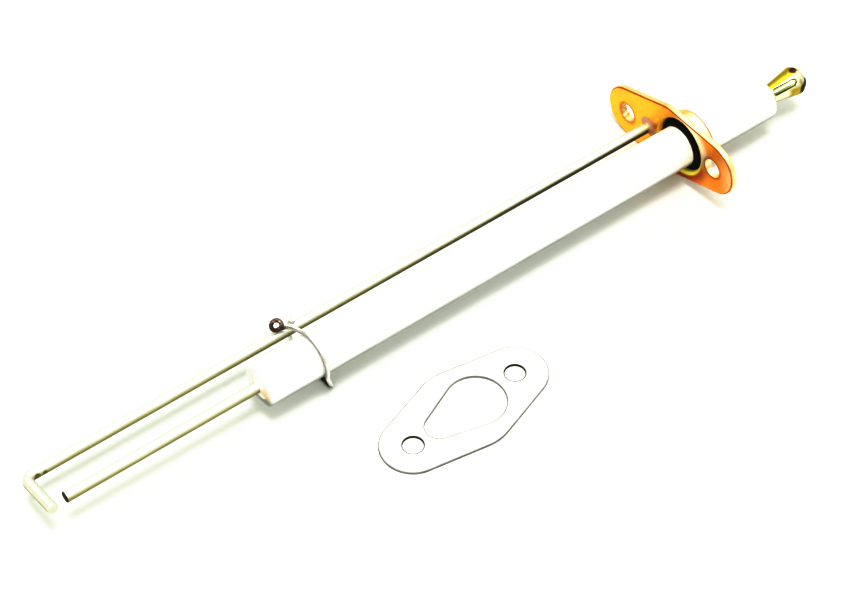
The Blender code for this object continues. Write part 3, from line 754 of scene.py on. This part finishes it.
def wire_finish():
    """Bright spring wire, with a painted dark reflection at its eye and painted shade where it runs along
    the floor.
    """
    paint = colours()
    finish = Finish("spring_wire", paint.wire)
    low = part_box("wire_clip")[0]
    along, across, up = finish.parts(finish.object_place)
    eye = finish.fade(along - low.x, *EYE_DEPTH)
    floor_run_shade = finish.fade(up, *FLOOR_RUN_RISE) * finish.ease(across - low.y, *FLOOR_RUN_START)
    lines = finish.noise(finish.mapped(finish.object_place, scale=WIRE_LINES), 1, 4)
    cloud = finish.cloud(WIRE_GRAINS)
    finish.cover(finish.ease(cloud, 0.55, 0.75) * 0.3, paint.rod_tint)
    # Painted dark reflection at the eye, broken up at random
    finish.cover(eye * finish.ease(cloud, 0.20, 0.40), paint.wire_brown)
    # Painted shade where the wire runs along the floor
    finish.cover(floor_run_shade, paint.shade_and_oxide)
    return finish.done(
        metallic=0.8,
        roughness=0.16 + 0.16 * lines + 0.1 * eye,
        normal=finish.bump(lines, 0.00003, 0.5),
    )


def fibre_finish():
    """Pressed white fibre sheet with painted shade on its cut edges, darkest in the screw holes."""
    paint = colours()
    size = lengths()
    finish = Finish("fibre_sheet", paint.fibre)
    along, across, up = finish.parts(finish.object_place)
    edge = finish.fade(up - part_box("gasket")[1].z, *FIBRE_EDGE_RISE)
    places = [finish.mapped(finish.object_place, scale=threads) for threads in FIBRE_THREADS]
    warp, weft = [finish.noise(place, 1, 4, 0.6) for place in places]
    mottle = finish.cloud(FIBRE_GRAINS, 4)
    finish.cover(finish.ease(mottle, 0.40, 0.80) * 0.12, paint.fibre_edge)
    strands = finish.ease(warp, 0.60, 0.78) + finish.ease(weft, 0.60, 0.78)
    finish.cover(strands * 0.16, paint.fibre_edge)
    # Painted shade on the cut edges, darkest on the walls of the screw holes
    finish.cover(edge * (0.6 + 0.4 * mottle), paint.fibre_edge)
    for side in (-1, 1):
        from_hole = square_from((along, across), on_gasket(side * size.hole_spacing / 2)) ** 0.5
        in_hole = finish.fade(from_hole - size.hole_diameter / 2, *FIBRE_HOLE_WIDTH)
        finish.cover(in_hole * edge, paint.shade_and_oxide)
    normal = finish.bump(warp + weft + 0.6 * mottle, 0.00006, 0.6)
    return finish.done(roughness=0.95, specular_ior_level=0.2, normal=normal)


def floor_finish():
    """Plain pale paper."""
    paint = colours()
    finish = Finish("pale_floor", paint.floor)
    finish.cover(finish.cloud(FLOOR_GRAINS) * 0.05, paint.fibre_edge)
    return finish.done(roughness=0.9, specular_ior_level=0.1)


def arc(center, radius, start, stop, pieces=ARC_STEPS):
    """Points of an arc in a plane, both ends included."""
    turns = [start + (stop - start) * step / pieces for step in range(pieces + 1)]
    return [(center[0] + radius * math.cos(t), center[1] + radius * math.sin(t)) for t in turns]


def begin(name):
    """An empty mesh object at the origin, left in edit mode."""
    bpy.ops.object.select_all(action="DESELECT")
    bpy.ops.mesh.primitive_plane_add(location=(0, 0, 0))
    piece = bpy.context.object
    piece.name = name
    piece.data.name = name
    bpy.ops.object.mode_set(mode="EDIT")
    bpy.ops.mesh.select_all(action="SELECT")
    bpy.ops.mesh.delete(type="VERT")
    return piece


def close_up():
    """Welds what was modelled, points it outwards and leaves edit mode."""
    bpy.ops.mesh.select_all(action="SELECT")
    bpy.ops.mesh.remove_doubles(threshold=WELD)
    bpy.ops.mesh.normals_make_consistent(inside=False)
    bpy.ops.object.mode_set(mode="OBJECT")


def make_active(piece):
    bpy.ops.object.select_all(action="DESELECT")
    piece.select_set(True)
    bpy.context.view_layer.objects.active = piece


def apply_modifier(piece, kind, **settings):
    """Adds one modifier, sets it and applies it."""
    make_active(piece)
    bpy.ops.object.modifier_add(type=kind)
    modifier = piece.modifiers[-1]
    for key, value in settings.items():
        setattr(modifier, key, value)
    bpy.ops.object.modifier_apply(modifier=modifier.name)


def combine(piece, tool, operation):
    apply_modifier(piece, "BOOLEAN", operation=operation, solver="EXACT", object=tool)
    bpy.data.objects.remove(tool, do_unlink=True)


def round_rims(piece, width, segments=3, angle=SMOOTH_ANGLE):
    settings = {"width": width, "segments": segments, "limit_method": "ANGLE", "angle_limit": angle}
    apply_modifier(piece, "BEVEL", **settings)


def roughen(piece, name, grain, strength):
    """Makes a surface uneven by a cloudy displacement."""
    clouds = bpy.data.textures.new(name, "CLOUDS")
    clouds.noise_scale = grain
    settings = {"texture": clouds, "texture_coords": "LOCAL", "strength": strength, "mid_level": 0.5}
    apply_modifier(piece, "DISPLACE", **settings)


def smooth(piece):
    """Smooth shading that keeps sharp rims and lets large flat faces stay flat."""
    make_active(piece)
    bpy.ops.object.shade_smooth_by_angle(angle=SMOOTH_ANGLE)
    apply_modifier(piece, "WEIGHTED_NORMAL", keep_sharp=True, weight=100)
    return piece


def deliver(piece, body, slot, material, *nodes):
    """Gives a finished piece its material and its place in the frame."""
    piece.data.materials.clear()
    piece.data.materials.append(material)
    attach(piece, body)
    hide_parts(*nodes)


def turned(name, profile, steps=ROUND_STEPS, about=axis):
    """A shape turned round a line along X. The profile's points are (place along X, radius)."""
    piece = begin(name)
    corners = [Vector((x, about.y, about.z + radius)) for x, radius in profile]
    bpy.ops.mesh.primitive_circle_add(vertices=3, radius=WELD, location=corners[0])
    bpy.ops.mesh.merge(type="CENTER")
    for before, after in zip(corners, corners[1:]):
        bpy.ops.mesh.extrude_vertices_move(TRANSFORM_OT_translate={"value": after - before})
    bpy.ops.mesh.select_all(action="SELECT")
    bpy.ops.mesh.spin(steps=steps, angle=math.tau, center=about, axis=(1, 0, 0))
    close_up()
    return piece


def wrap_round():
    """Draws one hull round all that was added, and leaves it selected."""
    bpy.ops.mesh.select_all(action="SELECT")
    bpy.ops.mesh.convex_hull()
    bpy.ops.mesh.select_all(action="SELECT")


def hull(name, discs, thickness, turn=(0, 0, 0)):
    """A plate round discs of (centre, radius), with the tangents that join them."""
    piece = begin(name)
    for center, radius in discs:
        bpy.ops.mesh.primitive_cylinder_add(
            vertices=ROUND_STEPS, radius=radius, depth=thickness, location=center, rotation=turn
        )
    wrap_round()
    bpy.ops.mesh.dissolve_limited(angle_limit=FLAT_ANGLE)
    close_up()
    return piece


def on_hole_line(distance, x):
    """The point at a distance from the axis along the line of the screw holes."""
    return Vector((x, axis.y, axis.z)) + hole_line * distance


def on_gasket(distance):
    """The point at a distance from the gasket's middle along the line of its screw holes."""
    return middle("gasket") + Matrix.Rotation(lengths().gasket_turn, 3, "Z") @ Vector((distance, 0, 0))


def mouth_axis():
    """Middle of the bell mouth, in which the ceramic lies a little low and towards the earth rod."""
    off = Vector((0, -hole_line.z, hole_line.y)) - hole_line
    return axis + off.normalized() * lengths().mouth_shift


def rolled_entry(radius, roll_radius):
    """Profile of a cutter for a hole whose entry at the plate's face is rolled."""
    wide = radius + roll_radius
    ahead = flange_front - CUT_RUN
    entry = arc((flange_front + roll_radius, wide), roll_radius, math.pi, 3 * QUARTER)
    return [(ahead, 0), (ahead, wide), (flange_front - SEAM_SINK, wide)] + entry[1:]


def plain_bore(front, rear, radius):
    """Profile of a cutter for a plain hole, which runs out past both ends."""
    front = front - CUT_RUN
    rear = rear + CUT_RUN
    return [(front, 0), (front, radius), (rear, radius), (rear, 0)]


def model_ceramic():
    """Tube with rounded rims, a bore for the rod and a wider bore at each end."""
    size = lengths()
    low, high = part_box("ceramic_insulator")
    radius = size.ceramic_diameter / 2
    bore = size.rod_diameter / 2
    counterbore = size.cement_diameter / 2
    front_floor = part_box("front_cement")[1].x
    rear_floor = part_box("terminal_stud")[0].x
    front_round = size.ceramic_front_round
    rear_round = size.ceramic_rear_round
    profile = [(low.x, counterbore)]
    profile += arc((low.x + front_round, radius - front_round), front_round, math.pi, QUARTER)
    profile += arc((high.x - rear_round, radius - rear_round), rear_round, QUARTER, 0)
    profile += [(high.x, counterbore), (rear_floor, counterbore), (rear_floor, bore)]
    profile += [(front_floor, bore), (front_floor, counterbore), (low.x, counterbore)]
    return smooth(turned("glazed_ceramic", profile))


def model_front_cement():
    """Cement that fills the ceramic's front and climbs the rod."""
    size = lengths()
    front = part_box("ceramic_insulator")[0].x
    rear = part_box("front_cement")[1].x
    inner = size.rod_diameter / 2
    outer = size.cement_diameter / 2
    crown = [(front - size.cement_crown * s**2, outer + (inner - outer) * s) for s in SHARES]
    profile = [(rear, inner), (rear, outer)] + crown + [(rear, inner)]
    piece = turned("front_cement_plug", profile, SMALL_STEPS)
    apply_modifier(piece, "SUBSURF", subdivision_type="SIMPLE", levels=1, render_levels=1)
    roughen(piece, *CEMENT_LUMPS)
    return smooth(piece)


def model_rear_cement():
    """Cement ring between the ceramic and the terminal's stud."""
    size = lengths()
    low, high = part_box("rear_cement")
    inner = height("terminal_stud") / 2
    outer = size.cement_diameter / 2
    profile = [(low.x, inner), (low.x, outer), (high.x - size.cement_crown, outer)]
    profile += [(high.x, inner), (low.x, inner)]
    return smooth(turned("rear_cement_ring", profile, SMALL_STEPS))


def model_sensing_rod():
    """Straight rod with a rounded tip."""
    size = lengths()
    low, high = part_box("sensing_electrode")
    radius = size.rod_diameter / 2
    rim = size.rod_end_round
    tip = arc((low.x + rim, radius - rim), rim, math.pi, QUARTER, 4)
    profile = [(low.x, 0)] + tip + [(high.x, radius), (high.x, 0)]
    return smooth(turned("sensing_rod", profile, SMALL_STEPS))


def model_earth_rod():
    """A disc drawn out along the rod, spun round the bend and drawn out again to the leg's end."""
    size = lengths()
    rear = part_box("earth_electrode")[1].x
    bend_x = earth_bend_x()
    to_bend = earth_offset.length - size.earth_bend
    piece = begin("earth_rod")
    bpy.ops.mesh.primitive_circle_add(
        vertices=SMALL_STEPS,
        radius=size.rod_diameter / 2,
        fill_type="NGON",
        location=(rear, earth_axis.y, earth_axis.z),
        rotation=(0, QUARTER, 0),
    )
    bpy.ops.mesh.extrude_region_move(TRANSFORM_OT_translate={"value": (bend_x - rear, 0, 0)})
    across = Vector((1, 0, 0)).cross(hole_line)
    bend_center = on_hole_line(to_bend, bend_x)
    bpy.ops.mesh.spin(steps=3 * ARC_STEPS, angle=QUARTER, center=bend_center, axis=-across)
    leg = to_bend + size.earth_leg_past
    bpy.ops.mesh.extrude_region_move(TRANSFORM_OT_translate={"value": -hole_line * leg})
    close_up()
    round_rims(piece, size.rod_end_round, 3, END_ANGLE)
    for x, radius in dents():
        press_dent(piece, x, radius)
    return smooth(piece)


def press_dent(piece, x, radius):
    """Presses one mark of the bending tool into the inner side of the earth rod."""
    size = lengths()
    to_tool = size.rod_diameter / 2 + radius - size.dent_depth
    inward = -(Matrix.Rotation(size.dent_turn, 3, "X") @ hole_line)
    tool = begin("dent_tool")
    bpy.ops.mesh.primitive_uv_sphere_add(
        segments=SMALL_STEPS // 2,
        ring_count=SMALL_STEPS // 4,
        radius=radius,
        location=Vector((x, earth_axis.y, earth_axis.z)) + inward * to_tool,
    )
    close_up()
    combine(piece, tool, "DIFFERENCE")


def model_flange():
    """Pressed plate with rounded rims, joined to the drawn cup, then bored for the mouth and the screws."""
    size = lengths()
    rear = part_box("mounting_flange")[1].x - size.cup_short
    face = flange_front + size.plate_thickness
    inside = flange_front + size.plate_thickness / 2
    half = size.hole_spacing / 2
    centers = [on_hole_line(size.plate_shift + side * half, inside) for side in (-1, 0, 1)]
    radii = (size.plate_ear, size.plate_waist, size.plate_ear)
    piece = hull("copper_flange", list(zip(centers, radii)), size.plate_thickness, (0, QUARTER, 0))
    round_rims(piece, size.plate_edge)

    foot = size.cup_radius + size.cup_fillet
    fillet = arc((face + size.cup_fillet, foot), size.cup_fillet, math.pi, 3 * QUARTER)
    corner = arc((rear - size.cup_round, size.cup_radius - size.cup_round), size.cup_round, QUARTER, 0)
    cup = [(inside, 0), (inside, foot), (face - SEAM_SINK, foot)] + fillet[1:] + corner + [(rear, 0)]
    combine(piece, turned("cup_body", cup), "UNION")

    floor = rear - size.cup_floor
    cavity = rolled_entry(size.cup_bore, size.mouth_round)
    cavity += [(floor, size.cup_bore), (floor, 0)]
    combine(piece, turned("cup_cavity", cavity, about=mouth_axis()), "DIFFERENCE")

    bore = plain_bore(floor, rear, size.ceramic_diameter / 2)
    combine(piece, turned("ceramic_way", bore), "DIFFERENCE")

    hole = rolled_entry(size.hole_diameter / 2, size.hole_roll)
    hole += [(face + CUT_RUN, size.hole_diameter / 2), (face + CUT_RUN, 0)]
    for center in (centers[0], centers[2]):
        combine(piece, turned("screw_hole", hole, SMALL_STEPS, center), "DIFFERENCE")
    return smooth(piece)


def model_packing():
    """Packing between the ceramic and the cup, with a lumpy face that slopes in towards the cup."""
    size = lengths()
    front = flange_front + size.packing_recess
    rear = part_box("seal_packing")[1].x
    inner = size.ceramic_diameter / 2
    outer = size.cup_bore
    core = inner - size.mouth_shift
    face = [(front + size.packing_slope * s, inner + (outer - inner) * s) for s in SHARES]
    profile = [(rear, core), (front, core)] + face + [(rear, outer), (rear, core)]
    piece = turned("packing_ring", profile, about=mouth_axis())
    roughen(piece, *PACKING_LUMPS)
    combine(piece, turned("ceramic_way", plain_bore(front, rear, inner)), "DIFFERENCE")
    return smooth(piece)


def model_braze():
    """Fillet of braze in the corner between the earth rod and the plate, with an uneven edge."""
    size = lengths()
    inner = size.rod_diameter / 2
    foot = size.braze_foot
    hollow = [(1 - math.sin(QUARTER * s), math.cos(QUARTER * s)) for s in SHARES]
    face = [(flange_front - size.braze_height * rise, foot - (foot - inner) * run) for rise, run in hollow]
    back = flange_front + SEAM_SINK
    profile = [(back, inner)] + face + [(back, foot), (back, inner)]
    piece = turned("braze_fillet", profile, SMALL_STEPS, earth_axis)
    roughen(piece, *BRAZE_FLOW)
    return smooth(piece)


def model_stud():
    """Stud with its shank in the ceramic, a core that widens with the leaves and a domed rivet head."""
    size = lengths()
    low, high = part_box("terminal_stud")
    shank = height("terminal_stud") / 2
    core = size.core_diameter / 2
    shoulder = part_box("ceramic_insulator")[1].x + size.stud_neck
    head_front = high.x - size.head_thickness
    turns = [QUARTER * s for s in SHARES[1:]]
    head = size.head_diameter / 2
    dome = [(head_front + size.head_thickness * math.cos(t), head * math.sin(t)) for t in turns]
    gap = size.cage_wall + size.cage_gap
    cone = [(x, max(radius, core)) for x, radius in cage_outline(gap) if shoulder < x < head_front]
    profile = [(high.x, 0)] + dome + [(head_front, core)] + cone[::-1]
    profile += [(shoulder, core), (shoulder, shank), (low.x, shank), (low.x, 0)]
    piece = turned("brass_stud", profile, SMALL_STEPS)
    round_rims(piece, size.rod_end_round / 2, 2)
    return smooth(piece)


def cage_outline(thinner):
    """Outline of the cage from its collar to its tip, made smaller in radius by what is given."""
    size = lengths()
    low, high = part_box("terminal_cage")
    neck = size.cage_neck - thinner
    belly = size.cage_belly - thinner
    tip = size.cage_tip - thinner
    dome_start = high.x - size.cage_dome
    turns = [QUARTER * s for s in SHARES]
    flare = [(low.x + size.cage_flare * s, neck + (belly - neck) * s**FLARE_POWER) for s in SHARES]
    dome = [(dome_start + size.cage_dome * math.sin(t), tip + (belly - tip) * math.cos(t)) for t in turns]
    return flare + dome


def model_cage():
    """Barrel of broad spring leaves between a closed collar and a closed band."""
    size = lengths()
    low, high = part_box("terminal_cage")
    inner = size.core_diameter / 2
    collar = low.x + size.cage_collar
    ring = high.x - size.cage_wall
    inside = [(x, max(radius, inner)) for x, radius in cage_outline(size.cage_wall) if collar < x < ring]
    profile = [(low.x, inner)] + cage_outline(0) + [(high.x, inner), (ring, inner)] + inside[::-1]
    profile += [(collar, inner), (low.x, inner)]
    piece = turned("brass_cage", profile)
    combine(piece, cage_slots(), "DIFFERENCE")
    round_rims(piece, size.cage_wall / 8, 2)
    return smooth(piece)


def cage_slots():
    """One slot with round ends, copied round the axis."""
    size = lengths()
    low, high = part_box("terminal_cage")
    core = size.core_diameter / 2
    half = size.slot_width / 2
    stations = (low.x + size.cage_collar + size.slot_margin + half, high.x - size.cage_band - half)
    depth = size.cage_belly + CUT_RUN - core
    turn = roll + size.slot_turn
    out = Vector((0, math.cos(turn), math.sin(turn))) * (core + depth / 2)
    tool = begin("cage_slots")
    for x in stations:
        bpy.ops.mesh.primitive_cylinder_add(
            vertices=SMALL_STEPS // 2,
            radius=half,
            depth=depth,
            location=Vector((x, axis.y, axis.z)) + out,
            rotation=(turn - QUARTER, 0, 0),
        )
    wrap_round()
    for _ in range(size.slot_count - 1):
        bpy.ops.mesh.duplicate()
        bpy.ops.transform.rotate(value=math.tau / size.slot_count, orient_axis="X", center_override=axis)
    close_up()
    return tool


def model_clip():
    """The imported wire, merged, squared up and smoothed to a round wire of the same thickness."""
    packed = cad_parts["wire_clip"]
    piece = bpy.data.objects.new("clip_wire", packed.data.copy())
    bpy.context.scene.collection.objects.link(piece)
    make_active(piece)
    bpy.ops.object.mode_set(mode="EDIT")
    bpy.ops.mesh.select_all(action="SELECT")
    bpy.ops.mesh.remove_doubles(threshold=10 * WELD)
    bpy.ops.mesh.tris_convert_to_quads(face_threshold=math.pi, shape_threshold=math.pi)
    bpy.ops.mesh.normals_make_consistent(inside=False)
    bpy.ops.object.mode_set(mode="OBJECT")
    apply_modifier(piece, "DISPLACE", strength=lengths().wire_swell, mid_level=0)
    apply_modifier(piece, "SUBSURF", levels=2, render_levels=2)
    return smooth(piece)


def crush_rims(piece):
    """Raises both faces inside their cut rims, as a die leaves them."""
    size = lengths()
    make_active(piece)
    bpy.ops.object.mode_set(mode="EDIT")
    bpy.ops.mesh.select_all(action="SELECT")
    bpy.ops.mesh.dissolve_limited(angle_limit=FLAT_ANGLE)
    bpy.ops.mesh.select_mode(type="FACE")
    bpy.ops.mesh.select_all(action="DESELECT")
    bpy.ops.object.mode_set(mode="OBJECT")
    for face in piece.data.polygons:
        face.select = abs(face.normal.z) > FLAT_FACE
    bpy.ops.object.mode_set(mode="EDIT")
    bpy.ops.mesh.inset(thickness=size.gasket_edge, depth=size.gasket_crush)
    bpy.ops.object.mode_set(mode="OBJECT")


def model_gasket():
    """Flat sheet with two screw holes and a pear-shaped opening for the ceramic and the earth rod."""
    size = lengths()
    thickness = height("gasket")
    ends = [on_gasket(side * size.hole_spacing / 2) for side in (-1, 1)]
    rim = [(ends[0], size.gasket_ear), (on_gasket(0), size.gasket_waist), (ends[1], size.gasket_ear)]
    piece = hull("fibre_gasket", rim, thickness - 2 * size.gasket_crush)
    toe = on_gasket(size.plate_shift - earth_offset.length)
    pear = [(on_gasket(size.plate_shift), size.gasket_mouth), (toe, size.gasket_toe)]
    through = thickness + 2 * CUT_RUN
    combine(piece, hull("pear_opening", pear, through), "DIFFERENCE")
    for end in ends:
        combine(piece, hull("gasket_hole", [(end, size.hole_diameter / 2)], through), "DIFFERENCE")
    crush_rims(piece)
    return smooth(piece)


class PROBE_OT_ceramic(bpy.types.Operator):
    """Model the glazed ceramic tube"""

    bl_idname = "probe.ceramic"
    bl_label = "Ceramic"

    def execute(self, context):
        deliver(model_ceramic(), "probe", "white_ceramic", glaze_finish(), "ceramic_insulator")
        return {"FINISHED"}


class PROBE_OT_cement(bpy.types.Operator):
    """Model the cement in both ends of the ceramic"""

    bl_idname = "probe.cement"
    bl_label = "Cement"

    def execute(self, context):
        material = cement_finish()
        deliver(model_front_cement(), "probe", "cement", material, "front_cement")
        deliver(model_rear_cement(), "probe", "cement", material, "rear_cement")
        return {"FINISHED"}


class PROBE_OT_rods(bpy.types.Operator):
    """Model the sensing rod and the bent earth rod"""

    bl_idname = "probe.rods"
    bl_label = "Rods"

    def execute(self, context):
        material = rod_finish()
        deliver(model_sensing_rod(), "probe", "heat_proof_steel", material, "sensing_electrode")
        deliver(model_earth_rod(), "probe", "heat_proof_steel", material, "earth_electrode")
        return {"FINISHED"}


class PROBE_OT_flange(bpy.types.Operator):
    """Model the pressed flange with its drawn cup"""

    bl_idname = "probe.flange"
    bl_label = "Flange"

    def execute(self, context):
        deliver(model_flange(), "probe", "copper_plate", copper_finish(), "mounting_flange")
        return {"FINISHED"}


class PROBE_OT_seals(bpy.types.Operator):
    """Model the packing in the cup and the braze round the earth rod"""

    bl_idname = "probe.seals"
    bl_label = "Packing and braze"

    def execute(self, context):
        deliver(model_packing(), "probe", "black_packing", packing_finish(), "seal_packing")
        deliver(model_braze(), "probe", "braze", braze_finish(), "earth_braze_ring")
        return {"FINISHED"}


class PROBE_OT_terminal(bpy.types.Operator):
    """Model the terminal's stud and its cage of leaves"""

    bl_idname = "probe.terminal"
    bl_label = "Terminal"

    def execute(self, context):
        material = brass_finish()
        deliver(model_stud(), "probe", "brass", material, "terminal_stud")
        deliver(model_cage(), "probe", "brass", material, "terminal_cage")
        return {"FINISHED"}


class PROBE_OT_clip(bpy.types.Operator):
    """Model the wire clip round the ceramic"""

    bl_idname = "probe.clip"
    bl_label = "Wire clip"

    def execute(self, context):
        deliver(model_clip(), "clip", "bright_wire", wire_finish(), "wire_clip")
        return {"FINISHED"}


class PROBE_OT_gasket(bpy.types.Operator):
    """Model the loose gasket"""

    bl_idname = "probe.gasket"
    bl_label = "Gasket"

    def execute(self, context):
        deliver(model_gasket(), "loose_gasket", "white_fibre", fibre_finish(), "gasket")
        return {"FINISHED"}


def add_floor():
    bpy.ops.object.select_all(action="DESELECT")
    bpy.ops.mesh.primitive_plane_add(size=FLOOR_SIZE, location=(0, 0, 0))
    floor = bpy.context.object
    floor.name = "studio_floor"
    floor.data.materials.append(floor_finish())


def add_camera():
    """A camera that looks at the aim from the photograph's angle."""
    stage = bpy.context.scene.probe_stage
    turn = (QUARTER - stage.elevation, 0, stage.azimuth)
    level_back = Vector((0, -math.cos(stage.elevation), math.sin(stage.elevation)))
    back = Matrix.Rotation(stage.azimuth, 3, "Z") @ level_back
    place = Vector(stage.aim) + back * stage.distance
    bpy.ops.object.select_all(action="DESELECT")
    bpy.ops.object.camera_add(location=place, rotation=turn)
    camera = bpy.context.object
    camera.name = "photo_camera"
    camera.data.lens = stage.lens
    camera.data.clip_start = stage.distance / 100
    bpy.context.scene.camera = camera


def add_lights():
    """A soft box overhead, a little towards the camera, and a white room."""
    stage = bpy.context.scene.probe_stage
    bpy.ops.object.select_all(action="DESELECT")
    bpy.ops.object.light_add(
        type="AREA",
        location=Vector(stage.aim) + KEY_DIRECTION * stage.key_distance,
        rotation=KEY_DIRECTION.to_track_quat("Z", "Y").to_euler(),
    )
    key = bpy.context.object
    key.name = "soft_box"
    key.data.energy = stage.key_power
    key.data.size = stage.key_size
    world = bpy.data.worlds.new("white_room")
    world.use_nodes = True
    board = Board(world.node_tree)
    room = world.node_tree.nodes["Background"]
    rise = board.parts(board.node("ShaderNodeTexCoord", output="Generated"))[2]
    mirrored = board.node("ShaderNodeLightPath", output="Is Glossy Ray")
    fill = stage.horizon + (stage.overhead - stage.horizon) * rise
    board.feed(room.inputs["Color"], colours().room)
    shown = stage.mirrored + stage.ceiling * rise**CEILING_FOCUS
    board.feed(room.inputs["Strength"], fill + mirrored * (shown - fill))
    bpy.context.scene.world = world


def set_tone():
    """The photograph's hard tone: light parts go to white and dark ones sink."""
    view = bpy.context.scene.view_settings
    view.view_transform = "Standard"
    view.use_curve_mapping = True
    tone = view.curve_mapping.curves[3]
    for dark, shown in TONE[1:-1]:
        tone.points.new(dark, shown)
    tone.points[0].location = TONE[0]
    tone.points[-1].location = TONE[-1]
    for point in tone.points:
        point.handle_type = "AUTO_CLAMPED"
    view.curve_mapping.extend = "HORIZONTAL"
    view.curve_mapping.update()


class PROBE_OT_stage(bpy.types.Operator):
    """Set up the floor, the light and the camera"""

    bl_idname = "probe.stage"
    bl_label = "Stage"

    def execute(self, context):
        add_floor()
        add_camera()
        add_lights()
        set_tone()
        return {"FINISHED"}


OPERATORS = (
    PROBE_OT_ceramic,
    PROBE_OT_cement,
    PROBE_OT_rods,
    PROBE_OT_flange,
    PROBE_OT_seals,
    PROBE_OT_terminal,
    PROBE_OT_clip,
    PROBE_OT_gasket,
    PROBE_OT_stage,
)


class PROBE_PT_panel(bpy.types.Panel):
    """The probe's operators in the order in which they run"""

    bl_idname = "PROBE_PT_panel"
    bl_label = "Flame Sensor Probe"
    bl_space_type = "VIEW_3D"
    bl_region_type = "UI"
    bl_category = "Probe"

    def draw(self, context):
        for operator in OPERATORS:
            self.layout.operator(operator.bl_idname)


GROUPS = {"probe_sizes": ProbeSizes, "probe_colours": ProbeColours, "probe_stage": ProbeStage}


def register():
    for name, group in GROUPS.items():
        bpy.utils.register_class(group)
        setattr(bpy.types.Scene, name, PointerProperty(type=group))
    for made in (*OPERATORS, PROBE_PT_panel):
        bpy.utils.register_class(made)


def unregister():
    for made in (PROBE_PT_panel, *reversed(OPERATORS)):
        bpy.utils.unregister_class(made)
    for name, group in GROUPS.items():
        delattr(bpy.types.Scene, name)
        bpy.utils.unregister_class(group)


def main():
    register()
    bpy.ops.probe.ceramic()
    bpy.ops.probe.cement()
    bpy.ops.probe.rods()
    bpy.ops.probe.flange()
    bpy.ops.probe.seals()
    bpy.ops.probe.terminal()
    bpy.ops.probe.clip()
    bpy.ops.probe.gasket()
    bpy.ops.probe.stage()


if __name__ == "__main__":
    main()
